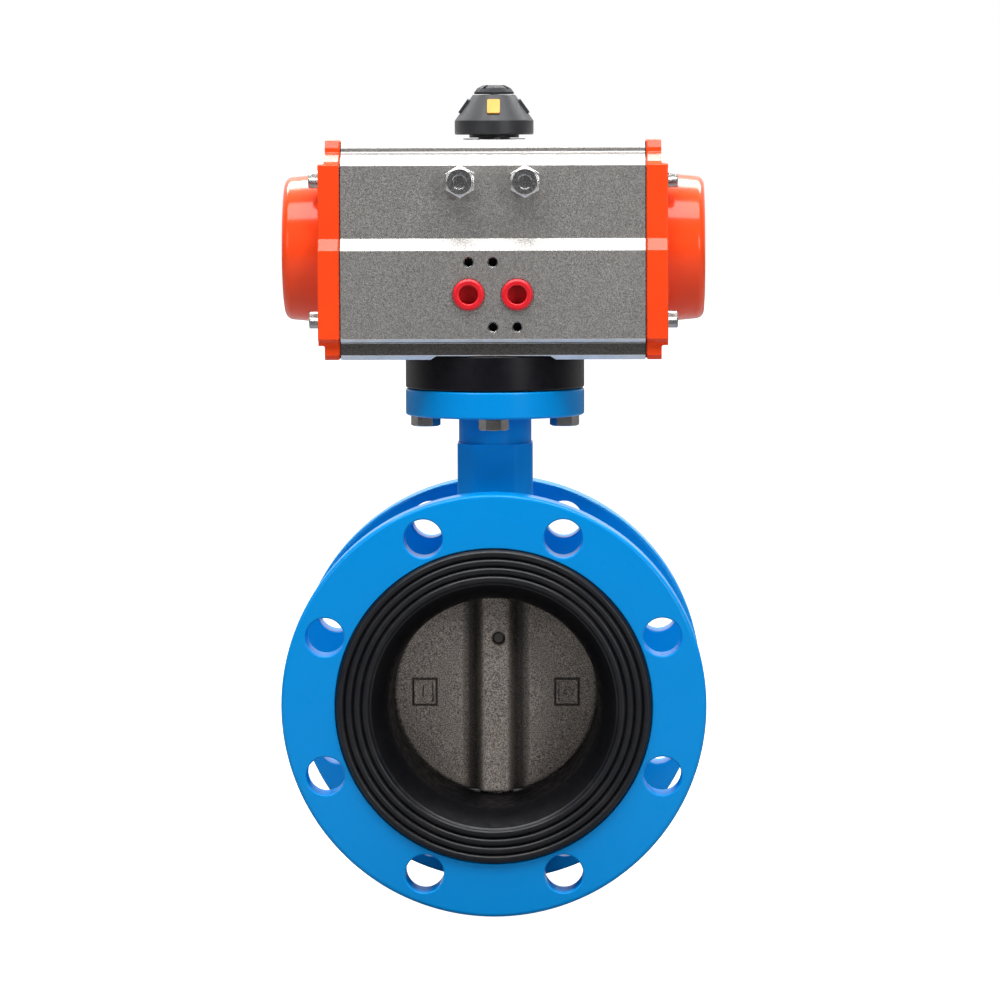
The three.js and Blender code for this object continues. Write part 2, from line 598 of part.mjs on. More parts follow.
function addGearTrain() {
  const around = { left: (shape) => shape, right: opposite };
  for (const [side, place] of Object.entries(around)) {
    add(`piston_${side}`, 'aluminium', place(pistonSolid()));
    add(`piston_o_ring_${side}`, 'blackRubber', place(pistonRingSolid(RING_GROOVE)));
    add(`piston_guide_band_${side}`, 'whitePlastic', place(pistonRingSolid(BAND_GROOVE)));
    add(`rack_pad_${side}`, 'whitePlastic', place(rackPadSolid()));
  }
  add('pinion', 'steel', pinion());
  add('stop_cam', 'steel', stopCam());
  const sleeve = (inner, outer, [from, to]) => ring('z', inner, outer, from, to, [0, 0, 0], 16);
  const { topJournal, journal } = PINION;
  const { outer, from, to } = THRUST_WASHER;
  add('pinion_bush_top', 'whitePlastic', sleeve(topJournal + GAP, TOP_BORE - GAP, PINION_BUSH.top));
  add('pinion_bush_bottom', 'whitePlastic', sleeve(
    journal + 2 * GAP, BOTTOM_BORE - GAP, PINION_BUSH.bottom));
  add('thrust_washer', 'darkPlastic', sleeve(topJournal + GAP, outer, [from, to]));
}

// --- Stop screws, port plugs and indicator ------------------------------------------------------

function stopScrew(x) {
  const { head, headHeight, headEnd, shank, tip } = STOP;
  const { acrossFlats, depth } = STOP_SOCKET;
  const cap = rod('y', head, headEnd, headEnd + headHeight, [0, 0, 0], 16);
  const socket = prism('y', hexagon(acrossFlats), headEnd - PAST, headEnd + depth);
  const thread = rod('y', shank, headEnd + headHeight - 1, tip, [0, 0, 0], 12);
  return moved(joined(cut(cap, socket), thread), x, 0, STOP.z);
}

function stopLocknut(x) {
  const seat = STOP.face - GAP;
  const nut = prism('y', hexagon(LOCKNUT.acrossFlats, Math.PI / 6), seat - LOCKNUT.height, seat);
  const hole = rod('y', STOP.shank + GAP, seat - LOCKNUT.height - PAST, seat + PAST, [0, 0, 0], 12);
  return moved(cut(nut, hole), x, 0, STOP.z);
}

// A cup that keeps dirt out of an air port until it is piped; its collar sits in the spot face.
function portPlug(x) {
  const { skirt, bore, depth, floor, collar, collarHeight, rim, rimHeight } = PLUG;
  const seat = -PROFILE[6][0] + PORT_SPOT_FACE.depth - GAP;
  return turned('y', [
    [0, seat + depth], [skirt, seat + depth], [skirt, seat], [collar, seat],
    [collar, seat - collarHeight], [rim, seat - rimHeight], [bore, seat - rimHeight],
    [bore, seat + depth - floor], [0, seat + depth - floor],
  ], 16, [x, 0, PORT.z]);
}

// The lean of the indicator's cone from the upright, in degrees.
function coneLean() {
  const { radius, neck, band, top } = INDICATOR;
  return THREE.MathUtils.radToDeg(Math.atan2(radius - neck, top - band));
}

// A raised grip on the +X side of the cone.
function grip() {
  const { half, from, to, stands } = GRIP;
  const pad = block([-3, -half, from], [stands, half, to]).rotate([0, -coneLean(), 0]);
  return moved(pad, INDICATOR.radius, 0, INDICATOR.band);
}

// A cone with two grips over a band and a foot, open underneath for the pinion's tip.
function indicatorBase() {
  const { foot, bottom, skirt, radius, band, neck, top } = INDICATOR;
  const shell = turned('z', [
    [0, bottom], [foot, bottom], [foot, skirt], [radius, skirt], [radius, band], [neck, top], [0, top],
  ]);
  const tipTop = PINION_TIP.top;
  const bore = rod('z', PINION_TIP.radius + GAP, bottom - PAST, tipTop + 1, [0, 0, 0], 16);
  const screwHole = rod('z', DIAL_SCREW.shank + 0.9, tipTop, top + PAST, [0, 0, 0], 12);
  return cut(joined(shell, grip(), opposite(grip())), bore, screwHole);
}

function indicatorDome() {
  const { base, bottom, top, socket, socketDepth } = DOME;
  const shell = turned('z', [
    [0, bottom], [base, bottom], [base, bottom + 0.6], [base * 0.8, top - 1.6],
    [base * 0.6, top - 0.4], [base * 0.4, top], [0, top],
  ]);
  return cut(shell, rod('z', socket, bottom - PAST, bottom + socketDepth, [0, 0, 0], 16));
}

function indicatorScrew() {
  const { head, headHeight, shank, depth } = DIAL_SCREW;
  const seat = INDICATOR.top + GAP;
  const cap = rod('z', head, seat, seat + headHeight, [0, 0, 0], 12);
  return joined(cap, rod('z', shank, PINION_TIP.top - depth, seat + 1, [0, 0, 0], 8));
}

// The raised yellow bar on the front of the indicator's cone, which shows which way the disc lies.
function indicatorMark() {
  const { half, thickness, from, to, inset } = MARK;
  const bar = block([-half, -thickness / 2, from], [half, thickness / 2, to]);
  return moved(bar.rotate([-coneLean(), 0, 0]), 0, -INDICATOR.radius - inset, INDICATOR.band);
}

function addFittings() {
  for (const [side, sign] of [['left', -1], ['right', 1]]) {
    add(`stop_screw_${side}`, 'stainless', stopScrew(sign * STOP.x));
    add(`stop_locknut_${side}`, 'stainless', stopLocknut(sign * STOP.x));
    add(`port_plug_${side}`, 'redPlastic', portPlug(sign * PORT.x));
  }
  add('indicator_base', 'darkPlastic', indicatorBase());
  add('indicator_dome', 'darkPlastic', indicatorDome());
  add('indicator_screw', 'stainless', indicatorScrew());
  add('indicator_mark_front', 'yellowPlastic', indicatorMark());
  add('indicator_mark_back', 'yellowPlastic', opposite(indicatorMark()));
}

addValve();
addAdapter();
addActuatorBody();
addGearTrain();
addFittings();

export default valve;
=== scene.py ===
"""Looks of the pneumatic actuated valve, built round its CAD frame. Lengths below are millimetres."""
import math

import bmesh
import bpy
from mathutils import Matrix, Vector


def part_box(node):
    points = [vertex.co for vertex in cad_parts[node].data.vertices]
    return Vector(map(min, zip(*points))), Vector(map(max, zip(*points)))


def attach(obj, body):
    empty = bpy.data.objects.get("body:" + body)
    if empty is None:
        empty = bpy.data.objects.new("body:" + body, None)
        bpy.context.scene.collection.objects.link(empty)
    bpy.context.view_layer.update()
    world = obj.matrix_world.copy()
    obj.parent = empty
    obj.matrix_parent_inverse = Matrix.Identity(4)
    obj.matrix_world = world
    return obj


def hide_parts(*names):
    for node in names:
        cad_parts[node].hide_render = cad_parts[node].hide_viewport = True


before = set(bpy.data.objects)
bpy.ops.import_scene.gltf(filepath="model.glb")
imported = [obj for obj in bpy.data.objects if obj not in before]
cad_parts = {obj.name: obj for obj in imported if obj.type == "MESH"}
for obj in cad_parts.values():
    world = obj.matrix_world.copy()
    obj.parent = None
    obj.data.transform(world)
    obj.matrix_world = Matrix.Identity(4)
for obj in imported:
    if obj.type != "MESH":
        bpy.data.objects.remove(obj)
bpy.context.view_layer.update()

MM = 0.001


def span(node):
    """Lowest and highest corner of a CAD node, in millimetres."""
    low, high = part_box(node)
    return Vector(low) / MM, Vector(high) / MM


# ------------------------------------------------------------------ sizes, from the frame

BODY_LOW, BODY_HIGH = span("valve_body")
SEAT_HIGH = span("seat_liner")[1]
DISC_HIGH = span("valve_disc")[1]
RING_LOW, RING_HIGH = span("adapter_ring")
CASE_LOW, CASE_HIGH = span("actuator_body")
CAP_HIGH = span("end_cap_right")[1]
SCREW_HIGH = span("cap_screw_right_1")[1]
STOP_LOW, STOP_HIGH = span("stop_screw_right")
NUT_HIGH = span("stop_locknut_right")[1]
PLUG_HIGH = span("port_plug_right")[1]
DIAL_LOW = span("indicator_base")[0]
DOME_LOW, DOME_HIGH = span("indicator_dome")
PIN_HIGH = span("taper_pin_upper")[1]

FLANGE_RADIUS = BODY_HIGH.x
FLANGE_FACE = BODY_HIGH.y
FLANGE_BACK = 44.5
BARREL_RADIUS = 68
BARREL_BORE = 60
FOLD_BACK = 60.5  # where the seat's folded lip rests on the casting
SEAT_RADIUS = SEAT_HIGH.x
SEAT_FACE = SEAT_HIGH.y
SEAT_BORE = 52.3
SWEPT_RADIUS = 52.15
BOLT_CIRCLE = 90
BOLT_HOLE = 9.5
NECK_RADIUS = 18.3
NECK_WIDTH = 37.7
NECK_SHOULDER = 126.4
TOP_FLANGE_RADIUS = 45
TOP_FLANGE_LOW = 140.5
TOP_FLANGE_HIGH = BODY_HIGH.z
FOOT_RADIUS = 17
FOOT_LOW = -98
TOP_BOLTS = [(35, 0), (0, 35), (-35, 0), (0, -35)]
TOP_BOLT_NAMES = ["right", "back", "left", "front"]
BORE_AXIS = 224.3
PISTON_BORE = 38
BUSH_WAY = 12
CASE_HALF = CASE_HIGH.x
SEAM = 0.55
CAP_SCREW_Y = 33
CAP_SCREW_Z = 34.7
STOP_OFFSET = 16
STOP_HEIGHT = 258
PIN_HEIGHT = 28
PIN_OFFSET = 1.5
PAD_CENTRE = 36
DIAL_RADIUS = 19.8
DIAL_TOP_RADIUS = 10.6
DIAL_SHOULDER = 288
DIAL_TOP = 301
CONE_LEAN = math.atan2(DIAL_RADIUS - DIAL_TOP_RADIUS, DIAL_TOP - DIAL_SHOULDER)
SQUARE = [(-1, -1), (1, -1), (1, 1), (-1, 1)]
PORTS = [(-12, 202.4), (12, 202.4)]
SOLENOID_HOLES = [(-12, 218.4), (0, 218.4), (0, 186.4), (12, 186.4)]
TOP_HOLES = [(x, y) for x in (-40, 40) for y in (-15, 15)]
CAP_SCREW_WAYS = [
    (y, BORE_AXIS + z) for y in (-CAP_SCREW_Y, CAP_SCREW_Y) for z in (-CAP_SCREW_Z, CAP_SCREW_Z)
]


# ------------------------------------------------------------------ outlines and meshes

def rounded(points, closed=False, steps=4):
    """An outline with a fillet at each point that has a third number, the fillet's radius."""
    outline = []
    last = len(points) - 1
    for i, point in enumerate(points):
        here = Vector(point[:2])
        if len(point) == 2 or (not closed and i in (0, last)):
            outline.append(here)
            continue
        before = (Vector(points[i - 1][:2]) - here).normalized()
        after = (Vector(points[(i + 1) % (last + 1)][:2]) - here).normalized()
        half = before.angle(after) / 2
        centre = here + (before + after).normalized() * point[2] / math.sin(half)
        start = here + before * point[2] / math.tan(half) - centre
        end = here + after * point[2] / math.tan(half) - centre
        turn = start.angle(end)
        for k in range(steps + 1):
            t = k / steps
            arm = start * math.sin((1 - t) * turn) + end * math.sin(t * turn)
            outline.append(centre + arm / math.sin(turn))
    return outline


PLACED = {
    "x": lambda u, v, along: (along, u, v),
    "y": lambda u, v, along: (u, along, v),
    "z": lambda u, v, along: (u, v, along),
}


def made(name, points, faces):
    """An object from points in millimetres; its faces are turned outwards."""
    build = bmesh.new()
    corners = [build.verts.new(Vector(p) * MM) for p in points]
    for face in faces:
        build.faces.new([corners[i] for i in face])
    bmesh.ops.recalc_face_normals(build, faces=build.faces)
    mesh = bpy.data.meshes.new(name)
    build.to_mesh(mesh)
    build.free()
    piece = bpy.data.objects.new(name, mesh)
    bpy.context.scene.collection.objects.link(piece)
    return piece


def turned(name, axis, profile, at=(0, 0, 0), sides=96, wave=None):
    """A body of revolution; the profile's (radius, distance) points end on the axis or close.

    wave(angle, radius, distance), if given, returns how far a point's radius grows."""
    closed = (Vector(profile[0]) - Vector(profile[-1])).length < 1e-6
    ring_points = profile[:-1] if closed else profile
    points = []
    rows = []
    for radius, along in ring_points:
        if radius < 1e-6:
            rows.append([len(points)] * sides)
            points.append(Vector(PLACED[axis](0, 0, along)) + Vector(at))
            continue
        rows.append(list(range(len(points), len(points) + sides)))
        for k in range(sides):
            angle = 2 * math.pi * k / sides
            reach = radius + (wave(angle, radius, along) if wave else 0)
            spot = PLACED[axis](reach * math.cos(angle), reach * math.sin(angle), along)
            points.append(Vector(spot) + Vector(at))
    faces = []
    for i in range(len(rows) if closed else len(rows) - 1):
        a, b = rows[i], rows[(i + 1) % len(rows)]
        for k in range(sides):
            n = (k + 1) % sides
            corners = [a[k], a[n], b[n], b[k]]
            face = [c for j, c in enumerate(corners) if c not in corners[:j]]
            if len(face) > 2:
                faces.append(face)
    return made(name, points, faces)


def loft(name, axis, rings):
    """Outlines with equally many points, each given with its place along the axis, as one solid."""
    count = len(rings[0][0])
    points = [PLACED[axis](u, v, along) for outline, along in rings for u, v in outline]
    faces = [tuple(range(count)), tuple(range(len(points) - count, len(points)))]
    for row in range(0, len(points) - count, count):
        for k in range(count):
            n = (k + 1) % count
            faces.append((row + k, row + n, row + count + n, row + count + k))
    return made(name, points, faces)


def prism(name, axis, outline, low, high):
    """An outline, in the two axes across this one in X, Y, Z order, pulled along it."""
    return loft(name, axis, [(outline, low), (outline, high)])


def hexagon(across_flats, turn=0.0):
    """A hexagon's corners, the first one at the angle turn."""
    radius = across_flats / math.sqrt(3)
    angles = [turn + k * math.pi / 3 for k in range(6)]
    return [(radius * math.cos(angle), radius * math.sin(angle)) for angle in angles]


def circle(radius, count=72):
    """Points round a circle about the origin."""
    angles = [2 * math.pi * k / count for k in range(count)]
    return [(radius * math.cos(angle), radius * math.sin(angle)) for angle in angles]


def rod(name, axis, radius, low, high, at=(0, 0, 0), sides=48):
    """A plain round bar between two places on the axis."""
    return turned(name, axis, [(0, low), (radius, low), (radius, high), (0, high)], at, sides)


def remove(piece):
    """Deletes a piece and its mesh."""
    mesh = piece.data
    bpy.data.objects.remove(piece)
    bpy.data.meshes.remove(mesh)


def settled(piece):
    """Applies the piece's modifiers to its mesh."""
    graph = bpy.context.evaluated_depsgraph_get()
    mesh = bpy.data.meshes.new_from_object(piece.evaluated_get(graph))
    old = piece.data
    piece.modifiers.clear()
    piece.data = mesh
    bpy.data.meshes.remove(old)
    return piece


def merged(name, pieces):
    """Several meshes that don't touch as one object."""
    build = bmesh.new()
    for piece in pieces:
        build.from_mesh(piece.data)
        remove(piece)
    mesh = bpy.data.meshes.new(name)
    build.to_mesh(mesh)
    build.free()
    whole = bpy.data.objects.new(name, mesh)
    bpy.context.scene.collection.objects.link(whole)
    return whole


def combine(piece, tools, operation="DIFFERENCE"):
    """Cuts the tools from the piece, or joins them to it, and deletes them."""
    for tool in tools:
        step = piece.modifiers.new("combine", "BOOLEAN")
        step.operation = operation
        step.solver = "EXACT"
        step.object = tool
        settled(piece)
        remove(tool)
    return piece


def eased(piece, width, angle=30, segments=3):
    """Rounds the piece's sharp edges."""
    step = piece.modifiers.new("ease", "BEVEL")
    step.width = width * MM
    step.segments = segments
    step.limit_method = "ANGLE"
    step.angle_limit = math.radians(angle)
    step.use_clamp_overlap = False
    return settled(piece)


def smooth(piece, angle=32):
    """Shades the piece smoothly, apart from edges sharper than the angle in degrees."""
    mesh = piece.data
    mesh.polygons.foreach_set("use_smooth", [True] * len(mesh.polygons))
    mesh.set_sharp_from_angle(angle=math.radians(angle))
    step = piece.modifiers.new("normals", "WEIGHTED_NORMAL")
    step.keep_sharp = True


def placed(piece, body, slot, material, *stands_for, angle=32):
    """Gives a finished piece its look, its body and the CAD nodes that it stands for."""
    smooth(piece, angle)
    piece.data.materials.clear()
    piece.data.materials.append(material)
    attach(piece, body)
    if stands_for:
        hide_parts(*stands_for)
    return piece


# ------------------------------------------------------------------ materials

class Look:
    """A node material with a Principled shader and a few short ways to feed it."""

    def __init__(self, name, color, roughness, metallic=0.0, **fixed):
        self.material = bpy.data.materials.new(name)
        self.material.use_nodes = True
        self.nodes = self.material.node_tree.nodes
        self.links = self.material.node_tree.links
        self.shader = self.nodes["Principled BSDF"]
        self.shader.inputs["Base Color"].default_value = (*color, 1)
        self.shader.inputs["Roughness"].default_value = roughness
        self.shader.inputs["Metallic"].default_value = metallic
        for socket, value in fixed.items():
            self.shader.inputs[socket.replace("_", " ")].default_value = value
        self.place = self.nodes.new("ShaderNodeTexCoord").outputs["Object"]

    def noise(self, scale, detail=2.0, roughness=0.5, stretch=None):
        """Noise of about one feature per 1/scale millimetres, stretched along an axis if asked."""
        node = self.nodes.new("ShaderNodeTexNoise")
        node.inputs["Scale"].default_value = scale / MM
        node.inputs["Detail"].default_value = detail
        node.inputs["Roughness"].default_value = roughness
        source = self.place
        if stretch:
            mapping = self.nodes.new("ShaderNodeMapping")
            mapping.inputs["Scale"].default_value = stretch
            self.links.new(self.place, mapping.inputs["Vector"])
            source = mapping.outputs["Vector"]
        self.links.new(source, node.inputs["Vector"])
        return node.outputs["Fac"]

    def ramp(self, source, stops):
        """Maps 0..1 to grey levels or colours given as (place, value) stops."""
        node = self.nodes.new("ShaderNodeValToRGB")
        ramp = node.color_ramp
        for i, (at, value) in enumerate(stops):
            stop = ramp.elements[i] if i < 2 else ramp.elements.new(at)
            stop.position = at
            stop.color = (*value, 1) if isinstance(value, tuple) else (value, value, value, 1)
        self.links.new(source, node.inputs["Fac"])
        return node.outputs["Color"]

    def mix(self, factor, a, b, blend="MIX"):
        """Mixes two colours; each input is a socket, a colour or a number."""
        node = self.nodes.new("ShaderNodeMix")
        node.data_type = "RGBA"
        node.blend_type = blend
        node.clamp_factor = True
        first, second = node.inputs[6], node.inputs[7]
        for socket, value in ((node.inputs["Factor"], factor), (first, a), (second, b)):
            if hasattr(value, "links"):
                self.links.new(value, socket)
            elif isinstance(value, tuple):
                socket.default_value = (*value, 1)
            else:
                socket.default_value = value
        return node.outputs[2]

    def bump(self, source, height, strength=1.0, normal=None):
        """Relief of the given height in millimetres, on top of another relief if one is given."""
        node = self.nodes.new("ShaderNodeBump")
        node.inputs["Distance"].default_value = height * MM
        node.inputs["Strength"].default_value = strength
        self.links.new(source, node.inputs["Height"])
        if normal:
            self.links.new(normal, node.inputs["Normal"])
        return node.outputs["Normal"]

    def math(self, operation, a, b=0.0):
        """One arithmetic step; each input is a socket or a number."""
        node = self.nodes.new("ShaderNodeMath")
        node.operation = operation
        for i, value in enumerate((a, b)):
            if hasattr(value, "links"):
                self.links.new(value, node.inputs[i])
            else:
                node.inputs[i].default_value = value
        return node.outputs[0]

    def axis(self, letter):
        """The place along one axis, in metres."""
        node = self.nodes.new("ShaderNodeSeparateXYZ")
        self.links.new(self.place, node.inputs[0])
        return node.outputs[letter.upper()]

    def feed(self, **inputs):
        """Links the sources to the shader's sockets of the same names and returns the material."""
        for socket, source in inputs.items():
            self.links.new(source, self.shader.inputs[socket.replace("_", " ")])
        return self.material


def enamel(name, color, dark, coat, orange_peel=0.05):
    """Thick sprayed enamel: faint orange peel, uneven gloss and slightly darker drifts."""
    look = Look(name, color, 0.4, Specular_IOR_Level=0.06, Coat_Weight=coat, Coat_Roughness=0.14)
    drift = look.ramp(look.noise(0.012, 2), [(0.35, 0.0), (0.75, 1.0)])
    tint = look.mix(drift, color, dark)
    peel = look.bump(look.noise(0.45, 2), orange_peel, 0.35)
    grit = look.bump(look.noise(2.2, 3), 0.02, 0.25, peel)
    gloss = look.ramp(look.noise(0.08, 4), [(0.3, 0.26), (0.8, 0.42)])
    return look.feed(Base_Color=tint, Roughness=gloss, Normal=grit)


def rubber(name, color, scuffed, specular, shine=(0.36, 0.62)):
    """Moulded rubber with a fine skin, dusty scuffs and uneven gloss."""
    look = Look(name, color, 0.45, Specular_IOR_Level=specular)
    dust = look.ramp(look.noise(0.06, 6, 0.65), [(0.48, 0.0), (0.8, 1.0)])
    tint = look.mix(dust, color, scuffed)
    skin = look.bump(look.noise(1.6, 5, 0.6), 0.05, 0.5)
    soft = look.bump(look.noise(0.12, 3), 0.25, 0.3, skin)
    gloss = look.ramp(look.noise(0.25, 4), [(0.3, shine[0]), (0.75, shine[1])])
    return look.feed(Base_Color=tint, Roughness=gloss, Normal=soft)


def sand_casting(name):
    """Sand-cast iron with a bright grain on the high spots and painted shade in the valleys by the boss."""
    look = Look(name, (0.3, 0.27, 0.25), 0.5, 0.2, Specular_IOR_Level=0.4)
    grain = look.noise(1.7, 3, 0.7)
    patch = look.noise(0.05, 4)
    patches = look.ramp(patch, [(0.35, 0.0), (0.7, 1.0)])
    brown = look.mix(patches, (0.16, 0.135, 0.115), (0.11, 0.1, 0.095))
    # skin is a near-black colour used as painted shade, in the valleys beside the boss and round each pad.
    skin = (0.02, 0.017, 0.016)
    high = look.ramp(grain, [(0.4, 0.0), (0.64, 1.0)])
    tint = look.mix(high, brown, (0.72, 0.64, 0.58))
    # Painted shade: the band about 7 to 17 mm either side of the middle, where the valleys lie, is darkened
    # towards skin.
    valley_reach = 20 * MM
    across = look.math("MULTIPLY", look.math("ABSOLUTE", look.axis("x")), 1 / valley_reach)
    valley_shade = look.ramp(across, [(0.35, 0.0), (0.5, 0.85), (0.66, 0.85), (0.86, 0.0)])
    tint = look.mix(valley_shade, tint, skin)
    # Painted shade too: the groove round each pad on the front face is darkened towards skin, as its shadow
    # would be.
    from_middle = look.math("ABSOLUTE", look.axis("x"))
    from_pad = look.math("ABSOLUTE", look.math("SUBTRACT", from_middle, PAD_CENTRE * MM))
    pad_width, pad_height = 11.9 * MM, 13.3 * MM
    wide = look.math("DIVIDE", from_pad, pad_width)
    tall = look.math("DIVIDE", look.math("ABSOLUTE", look.axis("z")), pad_height)
    reach = look.math("MAXIMUM", wide, tall)
    edge = look.ramp(reach, [(0.44, 0.0), (0.465, 1.0), (0.535, 1.0), (0.56, 0.0)])
    facing = look.math("LESS_THAN", look.axis("y"), -3 * MM)
    groove = look.math("MULTIPLY", look.math("MULTIPLY", edge, facing), 0.8)
    tint = look.mix(groove, tint, skin)
    coarse = look.bump(grain, 0.35, 0.9)
    lumps = look.bump(look.noise(0.3, 3), 0.5, 0.4, coarse)
    gloss = look.ramp(grain, [(0.4, 0.62), (0.7, 0.36)])
    return look.feed(Base_Color=tint, Roughness=gloss, Normal=lumps)


def blasted_anodised(name, depth=1.0):
    """Bead-blasted, hard-anodised aluminium: a fine speckle over a warm grey, darker as depth falls; a darker
    copy paints shade.
    """
    look = Look(name, (0.35, 0.34, 0.33), 0.42, 0.85)
    speckle = look.noise(1.9, 2, 0.7)
    low, high = (tuple(c * depth for c in grey) for grey in ((0.25, 0.24, 0.23), (0.52, 0.5, 0.485)))
    tint = look.mix(look.ramp(speckle, [(0.38, 0.0), (0.62, 1.0)]), low, high)
    drift = look.ramp(look.noise(0.015, 2), [(0.3, 0.9), (0.7, 1.0)])
    tint = look.mix(1.0, tint, drift, "MULTIPLY")
    blast = look.bump(speckle, 0.05, 0.55)
    gloss = look.ramp(look.noise(0.9, 2), [(0.35, 0.38), (0.7, 0.5)])
    return look.feed(Base_Color=tint, Roughness=gloss, Normal=blast)


def metal(name, color, roughness, stretch=(1, 1, 1), worn=0.12):
    """Bare metal with fine tool marks along the stretched axis and a few dull patches."""
    look = Look(name, color, roughness, 1.0)
    marks = look.noise(1.5, 3, 0.6, stretch)
    dull = look.ramp(look.noise(0.15, 4), [(0.4, 0.0), (0.75, 1.0)])
    shade = tuple(c * (1 - 2.2 * worn) for c in color)
    tint = look.mix(dull, color, shade)
    gloss = look.ramp(marks, [(0.3, roughness * 0.75), (0.7, roughness * 1.35)])
    lines = look.bump(marks, 0.02, 0.5)
    return look.feed(Base_Color=tint, Roughness=gloss, Normal=lines)


def plastic(name, color, roughness, grain=0.03, **fixed):
    """Moulded plastic with a fine grain and a slight cloudiness."""
    look = Look(name, color, roughness, **fixed)
    shade = tuple(c * 0.8 for c in color)
    tint = look.mix(look.ramp(look.noise(0.12, 3), [(0.3, 0.0), (0.8, 1.0)]), color, shade)
    skin = look.bump(look.noise(2.5, 3), grain, 0.5)
    gloss = look.ramp(look.noise(0.3, 3), [(0.3, roughness * 0.85), (0.75, roughness * 1.2)])
    return look.feed(Base_Color=tint, Roughness=gloss, Normal=skin)


BLUE = enamel("blue_enamel", (0.0, 0.262, 0.7), (0.0, 0.252, 0.68), 0.24)
ORANGE = enamel("orange_enamel", (0.94, 0.072, 0.012), (0.88, 0.06, 0.01), 0.55, 0.03)
SEAT_RUBBER = rubber("seat_rubber", (0.0055, 0.006, 0.009), (0.014, 0.013, 0.013), 0.34, (0.28, 0.46))
# A darker, less shiny copy of the seat rubber: painted shade for the bore, deep inside the valve.
SHADED_BORE_RUBBER = rubber("seat_rubber_shaded_bore", (0.0035, 0.0036, 0.005), (0.007, 0.006, 0.006), 0.08)
BLACK_RUBBER = rubber("black_rubber", (0.01, 0.01, 0.011), (0.02, 0.019, 0.018), 0.3)
CAST = sand_casting("cast_disc")
ANODISED = blasted_anodised("grey_anodised")
# A darker copy of the anodised grey: painted shade for the recessed strip under the case's lip.
ANODISED_SHADED = blasted_anodised("grey_anodised_shaded", 0.3)
STAINLESS = metal("stainless", (0.6, 0.58, 0.55), 0.26)
MACHINED = metal("machined_aluminium", (0.85, 0.85, 0.84), 0.22, (1, 1, 6), 0.05)
CHROME = metal("chrome", (0.72, 0.72, 0.72), 0.22, (1, 1, 1), 0.04)
BOLT_STEEL = metal("bolt_steel", (0.5, 0.49, 0.47), 0.2)
# A dark steel: painted shade for the ends of the taper pins, deep in their holes.
SHADED_PIN_STEEL = metal("pin_steel_painted_shade", (0.12, 0.11, 0.1), 0.5)
STEEL = metal("steel", (0.4, 0.39, 0.38), 0.34, (1, 1, 5))
BRONZE = metal("bronze", (0.55, 0.36, 0.15), 0.3)
ALUMINIUM = metal("aluminium", (0.75, 0.75, 0.76), 0.3)
BLACK_METAL = plastic("black_anodised", (0.0045, 0.004, 0.007), 0.32, 0.01, Specular_IOR_Level=0.22)
DARK_PLASTIC = plastic("dark_plastic", (0.024, 0.025, 0.029), 0.42, 0.04, Specular_IOR_Level=0.4)
MATT_PLASTIC = plastic("matt_plastic", (0.02, 0.021, 0.025), 0.6, 0.04, Specular_IOR_Level=0.2)
WHITE_PLASTIC = plastic("white_plastic", (0.78, 0.76, 0.7), 0.45)
RED_PLASTIC = plastic("red_plastic", (0.75, 0.007, 0.018), 0.34, 0.02)
# A near-white, partly metallic finish: painted reflection of the white floor on the down-facing chamfers
# under the case's lip.
FLOOR_REFLECTION = plastic("painted_floor_reflection", (0.85, 0.85, 0.84), 0.5, 0.02, Metallic=0.3)
YELLOW_PLASTIC = plastic("yellow_plastic", (0.85, 0.36, 0.015), 0.4, 0.02)


# ------------------------------------------------------------------ valve

def flared_hole(name, axis, radius, low, high, at, flare, sides=64):
    """A cutter for a hole whose rims are rounded over at both faces."""
    past = 3
    profile = [
        (0, low - past), (radius + flare, low - past), (radius + flare, low),
        *[(radius + flare * (1 - math.sin(t)), low + flare * (1 - math.cos(t)))
          for t in (0.5, 1.0, math.pi / 2)],
        *[(radius + flare * (1 - math.sin(t)), high - flare * (1 - math.cos(t)))
          for t in (math.pi / 2, 1.0, 0.5)],
        (radius + flare, high), (radius + flare, high + past), (0, high + past),
    ]
    return turned(name, axis, profile, at, sides)


def pipe_flange(side):
    """One flange's section as a ring; side is -1 at the inlet and 1 at the outlet."""
    face, back = FLANGE_FACE, FLANGE_BACK
    recess = SEAT_RADIUS + 0.35
    return rounded([
        (BARREL_BORE, side * FOLD_BACK), (recess, side * FOLD_BACK), (recess, side * face, 0.5),
        (FLANGE_RADIUS, side * face, 2.0), (FLANGE_RADIUS, side * back, 1.8),
        (BARREL_RADIUS, side * back, 5), (BARREL_RADIUS, side * 30), (BARREL_BORE, side * 30),
        (BARREL_BORE, side * FOLD_BACK),
    ])


def barrel_height(x):
    """How high the barrel's surface stands at x."""
    return math.sqrt(max(BARREL_RADIUS ** 2 - x * x, 0))


def skirted_column(name, outline, top, fillet, side=1):
    """A column whose foot flares into the barrel; outline gives its section, side -1 hangs it below."""
    steps = 6
    buried = -8
    levels = [(fillet, buried)]
    for k in range(steps + 1):
        angle = k / steps * math.pi / 2
        levels.append((fillet * (1 - math.sin(angle)), fillet * (1 - math.cos(angle))))
    points = []
    count = len(outline)
    for out, rise in levels:
        for u, v in outline:
            reach = math.hypot(u, v)
            x, y = u * (reach + out) / reach, v * (reach + out) / reach
            points.append((x, y, side * (barrel_height(x) + rise)))
    for u, v in outline:
        points.append((u, v, side * top))
    last = len(levels) * count
    faces = []
    for row in range(0, last, count):
        for k in range(count):
            n = (k + 1) % count
            faces.append((row + k, row + n, row + count + n, row + count + k))
    faces += [tuple(range(count)), tuple(range(last, last + count))]
    return made(name, points, faces)


def finer(outline, longest=2.0):
    """The closed outline with long straight stretches divided."""
    result = []
    for i, start in enumerate(outline):
        end = outline[(i + 1) % len(outline)]
        parts = max(1, round((Vector(end) - Vector(start)).length / longest))
        result += [Vector(start).lerp(Vector(end), k / parts) for k in range(parts)]
    return result


